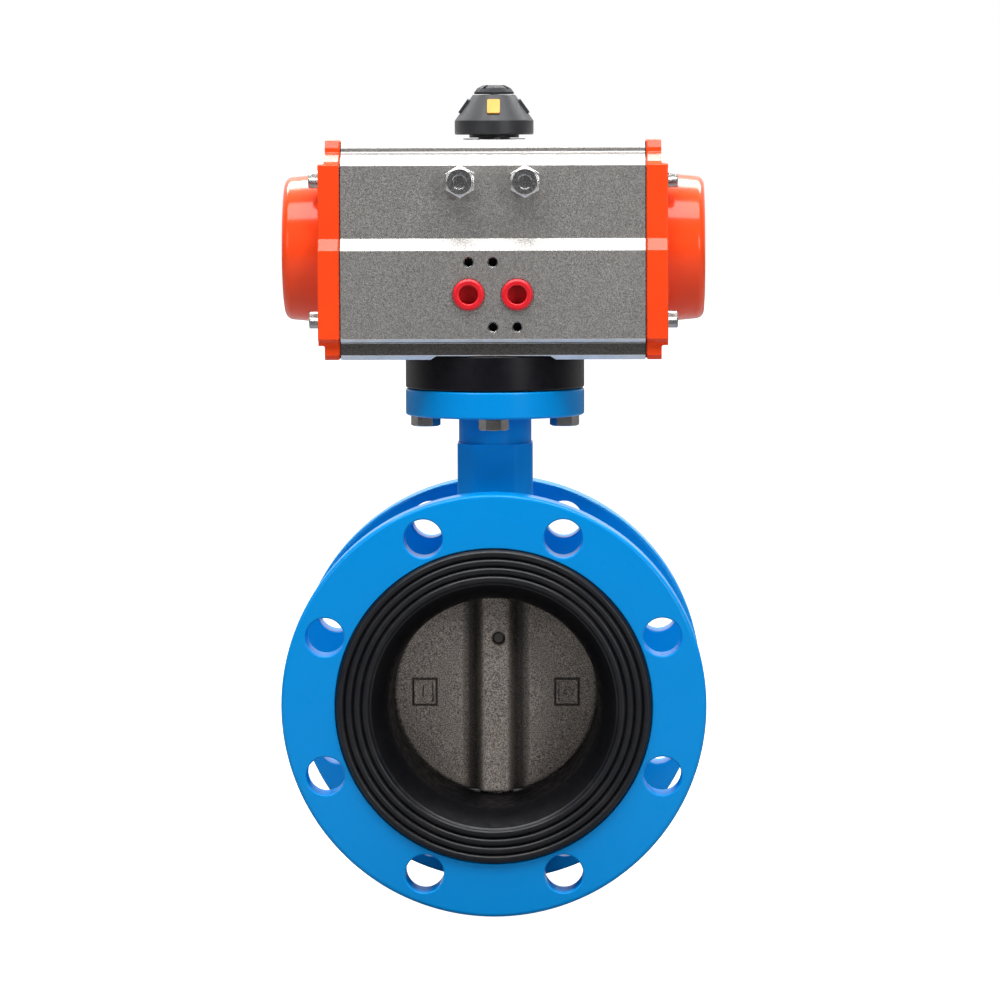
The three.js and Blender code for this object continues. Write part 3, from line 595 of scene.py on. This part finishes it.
def cast_body():
    """The casting: both flanges on a barrel, with the neck above and the foot below."""
    # One continuous ring: inlet flange, barrel, outlet flange and back through the bore.
    outer = pipe_flange(-1)[1:-2] + pipe_flange(1)[-3:0:-1]
    start, end = (BARREL_BORE, -FOLD_BACK), (BARREL_BORE, FOLD_BACK)
    profile = [start] + outer + [end, start]
    body = turned("valve_body_casting", "y", profile, sides=160)
    half = NECK_WIDTH / 2
    section = rounded([
        (half, -11.5, 4), (half, 11.5, 4), (11, half, 5), (-11, half, 5),
        (-half, 11.5, 4), (-half, -11.5, 4), (-11, -half, 5), (11, -half, 5),
    ], closed=True)
    column = skirted_column("column", finer(section), NECK_SHOULDER, 6)
    foot = skirted_column("foot", circle(FOOT_RADIUS), -FOOT_LOW, 5, -1)
    head = turned("head", "z", rounded([
        (0, 100), (NECK_RADIUS, 100), (NECK_RADIUS, TOP_FLANGE_LOW, 2.5),
        (TOP_FLANGE_RADIUS, TOP_FLANGE_LOW, 1.2), (TOP_FLANGE_RADIUS, TOP_FLANGE_HIGH, 1.2),
        (0, TOP_FLANGE_HIGH),
    ]), sides=96)
    combine(body, [column, foot, head], "UNION")
    flange_holes = []
    for k in range(8):
        angle = math.radians(22.5 + 45 * k)
        at = (BOLT_CIRCLE * math.cos(angle), 0, BOLT_CIRCLE * math.sin(angle))
        for low, high in ((-FLANGE_FACE, -FLANGE_BACK), (FLANGE_BACK, FLANGE_FACE)):
            flange_holes.append(flared_hole("hole", "y", BOLT_HOLE, low, high, at, 0.9))
    top_holes = [
        flared_hole("hole", "z", 4.5, TOP_FLANGE_LOW, TOP_FLANGE_HIGH, (x, y, 0), 0.4, 32)
        for x, y in TOP_BOLTS
    ]
    bore = rod("bore", "y", BARREL_BORE, -70, 70, sides=160)
    shaft_way = rod("shaft_way", "z", 8.6, -20, 160)
    packing = rod("packing", "z", BUSH_WAY, 115, 160)
    foot_way = rod("foot_way", "z", BUSH_WAY, -90, 0)
    holes = [merged("holes", flange_holes), merged("holes", top_holes)]
    combine(body, [*holes, shaft_way, packing, foot_way, bore])
    placed(body, "housing", "blue_enamel", BLUE, "valve_body", angle=38)


def seat_liner():
    """Rubber sleeve that folds over both faces in four rounded, concentric ribs.

    Its crown hugs the sphere that the turning disc sweeps, so no gap shows at the disc's rim."""
    ribs, pitch = 4, 4.15
    crown = (1, 4, 7, 9.5, 11.5)
    half = [(math.sqrt(SWEPT_RADIUS ** 2 - along ** 2), along) for along in crown]
    half += [(51.1, 15), (51.5, 22), (52, 34), (SEAT_BORE, 49), (SEAT_BORE + 0.5, 53)]
    half += [(54.6, 57.5), (57.6, 61.5), (60.4, 64)]
    for k in range(ribs):
        middle = 61.2 + pitch * (k + 0.5)
        for t in (-1, -0.9, -0.7, -0.4, 0, 0.4, 0.7, 0.9):
            half.append((middle + pitch * t / 2, SEAT_FACE - 1.7 * abs(t) ** 2.4))
    half += [(77.8, SEAT_FACE - 1.7), (SEAT_RADIUS, SEAT_FACE - 2.2), (SEAT_RADIUS, 60.9), (59.7, 60.9)]
    far = [(radius, -along) for radius, along in reversed(half)]
    sleeve = turned("seat_liner_rubber", "y", half + far + half[:1], sides=160)
    combine(sleeve, [rod("stem_way", "z", 8.5, -70, 70)])
    placed(sleeve, "housing", "seat_rubber", SEAT_RUBBER, "seat_liner", angle=50)
    # Painted shade: the bore's faces, within 59 mm of the axis, get the darker copy of the rubber.
    sleeve.data.materials.append(SHADED_BORE_RUBBER)
    for face in sleeve.data.polygons:
        if math.hypot(face.center.x, face.center.z) < 59 * MM:
            face.material_index = 1


def pad_outline(side, half_width, half_height):
    """A rectangle with round corners at the middle of the disc's left (-1) or right (1) half."""
    corners = [(side * PAD_CENTRE + u * half_width, v * half_height, 0.6) for u, v in SQUARE]
    return rounded(corners, closed=True)


def valve_disc():
    """Cast wheel with a boss along the stem; the fillets come from a fine remesh that is smoothed."""
    radius, rim, hub = DISC_HIGH.x, 4, DISC_HIGH.z - 0.2
    half = [(41, rim + 1), (radius - 1.5, rim), (radius, rim - 1.5)]
    far = [(r, -along) for r, along in reversed(half)]
    wheel = turned("valve_disc_casting", "y", [(0, rim + 2), *half, *far, (0, -rim - 2)])
    front = [(6.7, -13.3, 2.4), (9, -7), (11, 0), (9, 7), (6.7, 13.3, 2.4)]
    boss = rounded(front + [(-x, y, *fillet) for x, y, *fillet in reversed(front)], closed=True)
    combine(wheel, [prism("boss", "z", boss, -hub, hub)], "UNION")
    valleys = [rod("valley", "z", 4.4, -60, 60, (x, y, 0)) for x in (-12.8, 12.8) for y in (-7.2, 7.2)]
    flats = [prism("flat", "z", circle(30), *ends) for ends in ((-60, -hub), (hub, 60))]
    combine(wheel, [merged("valleys", valleys), merged("flats", flats)])
    cells = wheel.modifiers.new("cells", "REMESH")
    cells.mode = "VOXEL"
    cells.voxel_size = 0.8 * MM
    settled(wheel)
    soften = wheel.modifiers.new("soften", "SMOOTH")
    soften.factor = 0.5
    soften.iterations = 7
    settled(wheel)
    plate = -(rim + 1.1)
    pockets = [prism("pocket", "y", pad_outline(side, 6.5, 7.2), -9, plate + 0.9) for side in (-1, 1)]
    combine(wheel, [merged("pockets", pockets)])
    marks = []
    for side in (-1, 1):
        frame_bar = prism("frame_bar", "y", pad_outline(side, 5.4, 6.1), plate - 0.4, plate + 1.6)
        marks.append(combine(frame_bar, [prism("inner", "y", pad_outline(side, 4.3, 5), -9, -2)]))
    ring = rod("ring", "y", 2.6, plate - 0.4, plate + 1.6, (PAD_CENTRE, 0, 0), 32)
    marks.append(combine(ring, [rod("inner", "y", 1.5, -9, -2, (PAD_CENTRE, 0, 0), 32)]))
    marks.append(prism("bar", "y", pad_outline(-1, 0.7, 3.2), plate - 0.4, plate + 1.6))
    for mark in marks:
        eased(mark, 0.25, segments=2)
    combine(wheel, [merged("marks", marks)], "UNION")
    upper = turned("pin_hole", "y", [
        (0, -20), (4.0, -20), (3.9, -13.4), (3.15, -12.3), (3.15, 20), (0, 20),
    ], (PIN_OFFSET, 0, PIN_HEIGHT), 32)
    lower = rod("pin_hole", "y", 3.15, -9.5, 20, (PIN_OFFSET, 0, -PIN_HEIGHT), 32)
    combine(wheel, [upper, lower, rod("stem_way", "z", 8.5, -60, 60)])
    placed(wheel, "shaft", "cast_disc", CAST, "valve_disc", angle=60)
    # Painted shade: the pins are drawn in dark steel so their holes read dark.
    for name, height, start in (("upper", PIN_HEIGHT, -10), ("lower", -PIN_HEIGHT, -9.2)):
        pin = turned(f"taper_pin_{name}_turned", "y", rounded([
            (0, start), (2.7, start, 0.4), (3, PIN_HIGH.y, 0.4), (0, PIN_HIGH.y),
        ]), (PIN_OFFSET, 0, height), 32)
        placed(pin, "shaft", "stainless", SHADED_PIN_STEEL, f"taper_pin_{name}")


def adapter():
    """The black ring between the valve's top flange and the actuator."""
    ring = turned("adapter_ring_machined", "z", rounded([
        (27.5, RING_LOW.z), (RING_HIGH.x, RING_LOW.z, 0.9), (RING_HIGH.x, RING_HIGH.z, 0.9),
        (27.5, RING_HIGH.z), (27.5, RING_LOW.z),
    ]))
    combine(ring, [merged("holes", [
        rod("hole", "z", 4.5, RING_LOW.z - 3, RING_HIGH.z + 3, (x, y, 0), 32) for x, y in TOP_BOLTS
    ])])
    placed(ring, "housing", "black_anodised", BLACK_METAL, "adapter_ring")


# ------------------------------------------------------------------ fasteners, drawn standing on z = 0

OUTWARD = {
    "+x": Matrix.Rotation(math.pi / 2, 4, "Y"),
    "-x": Matrix.Rotation(-math.pi / 2, 4, "Y"),
    "-y": Matrix.Rotation(math.pi / 2, 4, "X"),
    "-z": Matrix.Rotation(math.pi, 4, "X"),
}


def set_down(piece, direction, point):
    """Turns a piece drawn upright to point in the direction and moves it to the point."""
    piece.data.transform(Matrix.Translation(Vector(point) * MM) @ OUTWARD[direction])
    return piece


def chamfered_hexagon(name, across, height, turn=0.0, both=True):
    """A hexagon whose corners are turned off by a 30 degree chamfer at one or both faces."""
    corner = across / math.sqrt(3)
    flat = across / 2 * 0.96
    drop = (corner + 0.3 - flat) * 0.5
    past = 0.2
    low = [(flat - 2 * past, -past), (corner + 0.3, drop)] if both else [(corner + 0.3, -past)]
    chamfer = turned("chamfer", "z", [
        (0, -past), *low, (corner + 0.3, height - drop), (flat - 2 * past, height + past), (0, height + past),
    ])
    nut = prism(name, "z", hexagon(across, turn), 0, height)
    combine(nut, [chamfer], "INTERSECT")
    return nut


def socket_screw(name, head, height, across, shank, length):
    """Socket-head screw with a knurled head."""
    knurls = 40

    def knurl(angle, radius, along):
        return 0.1 * math.cos(knurls * angle) - 0.1 if radius > head - 0.05 and along > 0.2 else 0

    screw = turned(name, "z", rounded([
        (0, -length), (shank, -length, 0.5), (shank, 0), (head, 0, 0.2), (head, height, 0.7), (0, height),
    ]), sides=knurls * 4, wave=knurl)
    rim = across / math.sqrt(3) + 0.25
    countersink = turned("countersink", "z", [
        (0, height - 0.6), (rim - 0.6, height - 0.6), (rim, height), (rim, height + 1), (0, height + 1),
    ], sides=48)
    socket = prism("socket", "z", hexagon(across, 0.3), height * 0.45, height + 1)
    combine(screw, [socket, countersink])
    return screw


def flange_bolts():
    """Hexagon bolts that hang below the top flange."""
    for (x, y), name in zip(TOP_BOLTS, TOP_BOLT_NAMES):
        low, high = span(f"flange_bolt_{name}")
        seat = TOP_FLANGE_LOW - 0.3
        head = chamfered_hexagon(f"flange_bolt_{name}_forged", 13, seat - low.z, both=False)
        shank = rod("shank", "z", 4, 0.2 - (high.z - seat), 0.2, sides=32)
        combine(head, [shank], "UNION")
        eased(head, 0.2, 25, 2)
        top = seat - low.z
        dish = turned("dish", "z", [(0, top - 0.35), (4.2, top - 0.1), (4.6, 9), (0, 9)], sides=32)
        combine(head, [dish])
        set_down(head, "-z", (x, y, seat))
        placed(head, "housing", "stainless", BOLT_STEEL, f"flange_bolt_{name}")


def cap_screws():
    """Four socket-head screws in each end cap."""
    seat = SCREW_HIGH.x - 5
    corners = [(y, z) for z in (CAP_SCREW_Z, -CAP_SCREW_Z) for y in (-CAP_SCREW_Y, CAP_SCREW_Y)]
    for side, sign in (("right", 1), ("left", -1)):
        for k, (y, z) in enumerate(corners):
            name = f"cap_screw_{side}_{k + 1}"
            screw = socket_screw(f"{name}_turned", 4.25, 5, 4, 2.5, seat - 61)
            set_down(screw, "+x" if sign > 0 else "-x", (sign * seat, y, BORE_AXIS + z))
            placed(screw, "housing", "stainless", BOLT_STEEL, name)


def stop_screws():
    """The two travel stops with their locknuts."""
    height, tip = 7.5, 10
    head = STOP_HIGH.x - STOP_OFFSET
    for side, x in (("left", -STOP_OFFSET), ("right", STOP_OFFSET)):
        length = -STOP_LOW.y - height - tip
        screw = socket_screw(f"stop_screw_{side}_turned", head, height, 6, 4, length)
        set_down(screw, "-y", (x, STOP_LOW.y + height, STOP_HEIGHT))
        placed(screw, "housing", "stainless", CHROME, f"stop_screw_{side}")
        nut = chamfered_hexagon(f"stop_locknut_{side}_forged", 14.2, 6.5, math.pi / 6)
        eased(nut, 0.2, 25, 2)
        combine(nut, [rod("hole", "z", 4.3, -1, 8, sides=32)])
        set_down(nut, "-y", (x, NUT_HIGH.y, STOP_HEIGHT))
        placed(nut, "housing", "stainless", CHROME, f"stop_locknut_{side}")


def port_plugs():
    """Hollow red plugs in the two air ports."""
    depth = 9.2
    for (x, z), side in zip(PORTS, ("left", "right")):
        plug = turned(f"port_plug_{side}_moulded", "z", rounded([
            (0, -depth), (5.5, -depth, 0.6), (5.5, 0), (7.8, 0, 0.3), (7.8, 2.0, 0.9), (6.7, 2.6, 0.5),
            (4.65, 2.6, 0.7), (4.5, -8), (0, -8),
        ]), sides=64)
        set_down(plug, "-y", (x, PLUG_HIGH.y - depth, z))
        placed(plug, f"{side}_plug", "red_plastic", RED_PLASTIC, f"port_plug_{side}")


# ------------------------------------------------------------------ actuator

def profile_outline(inset=0.0):
    """The extrusion's section in Y and Z, drawn in towards the bore's axis by the inset."""
    half = [
        (31, 278.5, 1.0), (33, 274.3, 2.0), (33, 272.3, 1.6), (40.5, 267.9, 0.5), (43, 266, 0.8),
        (43, 230, 0.9), (47.5, 224.1, 0.9), (47.5, 180.5, 0.5), (46, 179, 0.3), (44, 178.4, 0.3),
        (44, 172.4, 0.4), (41.8, 170.1, 0.5),
    ]
    whole = half + [(-y, z, fillet) for y, z, fillet in reversed(half)]
    outline = rounded(whole, closed=True)
    size = 1 - inset / 48
    return [(y * size, BORE_AXIS + (z - BORE_AXIS) * size) for y, z in outline]


def actuator_body():
    """The extruded case with its bores, ports and threads, and the materials of its faces: cut faces, a
    painted floor reflection on the chamfers under the lip, and painted shade in the solenoid holes and on the
    strip below the lip.
    """
    case = prism("actuator_body_extrusion", "x", profile_outline(), -CASE_HALF, CASE_HALF)
    top, bottom, front = CASE_HIGH.z, CASE_LOW.z, CASE_LOW.y
    ports = [rod("port", "y", 5.9, front - 3, front + 12, (x, 0, z)) for x, z in PORTS]
    spot_faces = [rod("spot_face", "y", 8.3, front - 3, front + 0.5, (x, 0, z), 64) for x, z in PORTS]
    threads = []
    for x, z in SOLENOID_HOLES:
        threads.append(turned("thread", "y", [
            (0, front - 2), (2.75, front - 2), (2.75, front), (2.1, front + 0.7), (2.1, front + 7),
            (0, front + 7),
        ], (x, 0, z), 32))
    for x, y in TOP_HOLES:
        threads.append(turned("thread", "z", [
            (0, top - 7), (2.1, top - 7), (2.1, top - 0.6), (2.7, top), (2.7, top + 2), (0, top + 2),
        ], (x, y, 0), 32))
    ends = []
    for sign in (-1, 1):
        low, high = sorted((sign * 60, sign * (CASE_HALF + 3)))
        ends += [rod("screw_way", "x", 2.8, low, high, (0, y, z), 24) for y, z in CAP_SCREW_WAYS]
    combine(case, [
        rod("bore", "x", PISTON_BORE, -CASE_HALF - 3, CASE_HALF + 3, (0, 0, BORE_AXIS), 96),
        rod("underside", "z", 52, bottom - 3, 172, sides=96),
        rod("top_spot", "z", 20.4, top - 0.5, top + 3, sides=96),
        rod("top_bore", "z", 15, BORE_AXIS, top + 3),
        rod("cam_pocket", "z", 24, BORE_AXIS, 263.5, sides=96),
        rod("bottom_bore", "z", 19, bottom - 3, BORE_AXIS),
        merged("ports", ports), merged("spot_faces", spot_faces), merged("threads", threads),
        merged("ends", ends),
        merged("bolts", [rod("bolt_way", "z", 4.3, bottom - 3, 184, (x, y, 0), 32) for x, y in TOP_BOLTS]),
        merged("stops", [
            rod("stop_way", "y", 4.3, -46, -8, (x, 0, STOP_HEIGHT), 32) for x in (-STOP_OFFSET, STOP_OFFSET)
        ]),
    ])
    placed(case, "housing", "grey_anodised", ANODISED, "actuator_body")
    for material in (MACHINED, FLOOR_REFLECTION, BLACK_METAL, ANODISED_SHADED):
        case.data.materials.append(material)
    for face in case.data.polygons:
        here = face.center / MM
        if near_machined(here, face.normal, top, front):
            face.material_index = 1
        # Painted reflection: the down-facing chamfers under the lip are drawn near-white, as if mirroring the
        # floor.
        elif here.z < 181 and abs(here.y) > 41 and -0.95 < face.normal.z < -0.2:
            face.material_index = 2
        # Painted shade: the thread walls inside the solenoid holes are drawn black, standing in for the shade
        # deep in the holes.
        elif beside(here, SOLENOID_HOLES, 2.3) and front + 0.8 < here.y < front + 8:
            face.material_index = 3
        # Painted shade: the recessed strip under the lip gets the darker anodised copy.
        elif here.z < 178.5 and 43.5 < abs(here.y) < 44.5:
            face.material_index = 4


def beside(here, centres, radius):
    """True where a place on the front lies within the radius of one of the centres."""
    return any(math.hypot(here.x - x, here.z - z) < radius for x, z in centres)


def near_machined(here, normal, top, front):
    """True on the chamfers, threads and spot faces that are cut after the anodising."""
    if here.y < front + 1 and 0.2 < abs(normal.y) < 0.95 and beside(here, SOLENOID_HOLES, 2.8):
        return True
    if beside(here, PORTS, 8.5) and front + 0.1 < here.y < front + 13:
        return True
    if abs(here.x) > CASE_HALF - 0.1:
        return True
    in_top_hole = any(abs(here.x - x) < 3 and abs(here.y - y) < 3 for x, y in TOP_HOLES)
    return in_top_hole and top - 7.5 < here.z < top - 0.01


def end_cap(side):
    """One orange cap with its drum, and the gasket under it; the left ones are mirrored."""
    seat = CASE_HALF + SEAM
    end = CAP_HIGH.x
    plate, flange = seat + 7.5, seat + 10.7
    ease = 0.7
    rings = [(profile_outline(ease), seat), (profile_outline(), seat + ease)]
    for angle in (0, 30, 60, 90):
        turn = math.radians(angle)
        inset = ease * (1 - math.cos(turn))
        rings.append((profile_outline(inset), flange - ease * (1 - math.sin(turn))))
    cap = loft(f"end_cap_{side}_casting", "x", rings)
    steps = []
    for near, far in ((266.5, 290), (177.2, 160)):
        corner = [(plate, near, 1), (plate, far), (flange + 5, far), (flange + 5, near)]
        steps.append(prism("step", "y", rounded(corner, closed=True), -60, 60))
    combine(cap, [merged("steps", steps)])
    drum = turned("drum", "x", rounded([
        (0, seat + 3), (37.8, seat + 3), (35.4, end, 4.2), (0, end),
    ], steps=8), (0, 0, BORE_AXIS), 120)
    combine(cap, [drum], "UNION")
    combine(cap, [
        rod("cavity", "x", 31, seat - 3, end - 4.5, (0, 0, BORE_AXIS), 64),
        merged("screw_ways", [
            rod("way", "x", 2.8, seat - 3, end, (0, y, z), 24) for y, z in CAP_SCREW_WAYS
        ]),
    ])
    gasket = prism(f"cap_gasket_{side}_sheet", "x", profile_outline(0.7), CASE_HALF + 0.05, seat - 0.05)
    combine(gasket, [
        rod("bore", "x", PISTON_BORE, CASE_HALF - 3, seat + 3, (0, 0, BORE_AXIS), 64),
        merged("screw_ways", [
            rod("way", "x", 2.8, CASE_HALF - 3, seat + 3, (0, y, z), 24) for y, z in CAP_SCREW_WAYS
        ]),
    ])
    for piece in (cap, gasket):
        if side == "left":
            piece.data.transform(Matrix.Scale(-1, 4, (1, 0, 0)))
            piece.data.flip_normals()
    placed(cap, "housing", "orange_enamel", ORANGE, f"end_cap_{side}")
    placed(gasket, "housing", "black_rubber", BLACK_RUBBER, f"cap_gasket_{side}")


# ------------------------------------------------------------------ position indicator

def on_cone(piece, azimuth):
    """Leans a piece drawn on the upright plane x = 0 against the cone, then turns it round the dial."""
    lean = Matrix.Rotation(-CONE_LEAN, 4, "Y")
    foot = Matrix.Translation(Vector((DIAL_RADIUS, 0, DIAL_SHOULDER)) * MM)
    piece.data.transform(Matrix.Rotation(azimuth, 4, "Z") @ foot @ lean)
    return piece


def indicator():
    """The cone with its two grips, the dome on top and the two yellow marks."""
    base = turned("indicator_base_moulded", "z", rounded([
        (0, DIAL_LOW.z), (12.5, DIAL_LOW.z, 0.3), (12.5, 281), (DIAL_RADIUS, 281, 0.9),
        (DIAL_RADIUS, DIAL_SHOULDER, 0.7), (DIAL_TOP_RADIUS, DIAL_TOP, 0.8), (0, DIAL_TOP),
    ]), sides=128)
    for azimuth in (0, math.pi):
        outline = rounded([(-4, 4.5, 1), (4, 4.5, 1), (4, 13, 1), (-4, 13, 1)], closed=True)
        grip = prism("grip", "x", outline, -2, 0.9)
        eased(grip, 0.3, segments=2)
        combine(base, [on_cone(grip, azimuth)], "UNION")
        for y in (-2, 0, 2):
            left, right = y - 0.35, y + 0.35
            groove = prism("groove", "x", [(left, 3), (right, 3), (right, 14), (left, 14)], 0.45, 2)
            combine(base, [on_cone(groove, azimuth)])
    combine(base, [rod("bore", "z", 8.3, 270, 298), rod("screw_way", "z", 3, 290, 303)])
    placed(base, "shaft", "dark_plastic", DARK_PLASTIC, "indicator_base")

    low, high = DOME_LOW.z, DOME_HIGH.z
    dome = turned("indicator_dome_moulded", "z", rounded([
        (0, low), (10, low, 0.3), (10, low + 0.9, 0.4), (8.3, high - 1.5, 1.5),
        (5.6, high - 0.1, 1.5), (0, high),
    ], steps=6), sides=96)
    notches = []
    for k in range(4):
        notch = prism("notch", "x", [(-0.8, -1.1), (0.8, -1.1), (0.8, 3), (-0.8, 3)], 4.6, 11)
        turn = Matrix.Rotation(math.radians(235 + 90 * k), 4, "Z")
        notch.data.transform(turn @ Matrix.Translation(Vector((0, 0, high - 0.9)) * MM))
        notches.append(notch)
    combine(dome, [merged("notches", notches), rod("socket", "z", 5.3, low - 1, low + 3.4)])
    placed(dome, "shaft", "dark_plastic", MATT_PLASTIC, "indicator_dome")

    for name, azimuth in (("front", -math.pi / 2), ("back", math.pi / 2)):
        corners = [(-3.2, 4, 0.8), (3.2, 4, 0.8), (3.2, 12.5, 0.8), (-3.2, 12.5, 0.8)]
        outline = rounded(corners, closed=True)
        mark = prism(f"indicator_mark_{name}_moulded", "x", outline, 0.15, 0.95)
        eased(mark, 0.25, segments=2)
        on_cone(mark, azimuth)
        placed(mark, "shaft", "yellow_plastic", YELLOW_PLASTIC, f"indicator_mark_{name}")


# ------------------------------------------------------------------ pieces kept from the frame

def keep(node, material, ease=0.15):
    """Finishes a CAD node that is shown as it is: its material, eased edges and smooth round faces."""
    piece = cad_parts[node]
    piece.data.materials.clear()
    piece.data.materials.append(material)
    piece.data.polygons.foreach_set("use_smooth", [True] * len(piece.data.polygons))
    piece.data.set_sharp_from_angle(angle=math.radians(32))
    step = piece.modifiers.new("ease", "BEVEL")
    step.width = ease * MM
    step.segments = 2
    step.limit_method = "ANGLE"
    step.angle_limit = math.radians(40)
    step.harden_normals = True
    step = piece.modifiers.new("normals", "WEIGHTED_NORMAL")
    step.keep_sharp = True


def inner_pieces():
    """The pieces inside the valve, shown as the frame has them."""
    kept = {
        STAINLESS: ["valve_stem", "indicator_screw"],
        BRONZE: ["stem_bush_upper", "stem_bush_lower"],
        BLACK_RUBBER: ["stem_seal", "piston_o_ring_left", "piston_o_ring_right"],
        STEEL: ["pinion", "stop_cam"],
        ALUMINIUM: ["piston_left", "piston_right"],
        WHITE_PLASTIC: [
            "piston_guide_band_left", "piston_guide_band_right", "rack_pad_left", "rack_pad_right",
            "pinion_bush_top", "pinion_bush_bottom",
        ],
        MATT_PLASTIC: ["thrust_washer"],
    }
    for material, nodes in kept.items():
        for node in nodes:
            keep(node, material)


cast_body()
seat_liner()
valve_disc()
adapter()
flange_bolts()
cap_screws()
stop_screws()
port_plugs()
actuator_body()
end_cap("right")
end_cap("left")
indicator()
inner_pieces()


# ------------------------------------------------------------------ camera, floor and light

def camera():
    """A long lens straight in front of the valve, a little above it."""
    view = bpy.data.objects.new("camera", bpy.data.cameras.new("camera"))
    bpy.context.scene.collection.objects.link(view)
    view.data.lens = 156.1
    view.data.clip_end = 50
    view.location = Vector((43.25, -2183.9, 281.4)) * MM
    pitch, roll, yaw = 90 - 4.827, 0.2, 1.0575
    view.rotation_euler = (math.radians(pitch), math.radians(roll), math.radians(yaw))
    bpy.context.scene.camera = view


def floor():
    """White paper under the valve; it glows for the camera only, so it stays white."""
    mesh = bpy.data.meshes.new("floor")
    mesh.from_pydata([(-6, -4, 0), (6, -4, 0), (6, 8, 0), (-6, 8, 0)], [], [(0, 1, 2, 3)])
    sheet = bpy.data.objects.new("floor", mesh)
    sheet.location.z = (BODY_LOW.z - 0.3) * MM
    bpy.context.scene.collection.objects.link(sheet)
    paper = Look("floor_paper", (0.25, 0.25, 0.25), 0.9, Specular_IOR_Level=0.1)
    paper.shader.inputs["Emission Color"].default_value = (1, 1, 1, 1)
    seen = paper.nodes.new("ShaderNodeLightPath").outputs["Is Camera Ray"]
    paper.feed(Emission_Strength=paper.math("MULTIPLY", seen, 1.1))
    mesh.materials.append(paper.material)


def softbox(name, elevation, turn, distance, size, power):
    """A rectangular light aimed at the valve; elevation counts from the front, over the top."""
    light = bpy.data.lights.new(name, "AREA")
    light.shape = "RECTANGLE"
    light.size, light.size_y = size
    light.energy = power
    lamp = bpy.data.objects.new(name, light)
    aim = Vector((0, 0, 0.1))
    up, along = math.radians(elevation), math.radians(turn)
    reach = -math.cos(up) * distance
    place = aim + Vector((-reach * math.sin(along), reach * math.cos(along), math.sin(up) * distance))
    lamp.location = place
    lamp.rotation_euler = (aim - place).to_track_quat("-Z", "Y").to_euler()
    bpy.context.scene.collection.objects.link(lamp)


def surroundings():
    """A white world that lights the valve mostly from behind; the camera sees it plain white."""
    world = bpy.data.worlds.new("studio")
    bpy.context.scene.world = world
    world.use_nodes = True
    nodes, links = world.node_tree.nodes, world.node_tree.links
    direction = nodes.new("ShaderNodeTexCoord")
    split = nodes.new("ShaderNodeSeparateXYZ")
    links.new(direction.outputs["Generated"], split.inputs[0])
    ramp = nodes.new("ShaderNodeMapRange")
    for socket, value in (("From Min", 0.0), ("From Max", 0.6), ("To Min", 0.05), ("To Max", 1.0)):
        ramp.inputs[socket].default_value = value
    links.new(split.outputs["Y"], ramp.inputs["Value"])
    seen = nodes.new("ShaderNodeLightPath")
    strength = nodes.new("ShaderNodeMix")
    links.new(seen.outputs["Is Camera Ray"], strength.inputs["Factor"])
    links.new(ramp.outputs["Result"], strength.inputs[2])
    strength.inputs[3].default_value = 1.0
    links.new(strength.outputs[0], nodes["Background"].inputs["Strength"])
    nodes["Background"].inputs["Color"].default_value = (1, 1, 1, 1)


camera()
floor()
softbox("over_front", 66, 0, 1.4, (1.8, 0.7), 34)
softbox("over_back", 122, 0, 1.4, (1.8, 0.6), 50)
softbox("fill_left", 18, -34, 2.0, (0.8, 0.8), 5)
softbox("fill_right", 12, 33, 2.0, (0.6, 0.6), 8)
surroundings()
bpy.context.scene.view_settings.view_transform = "Standard"
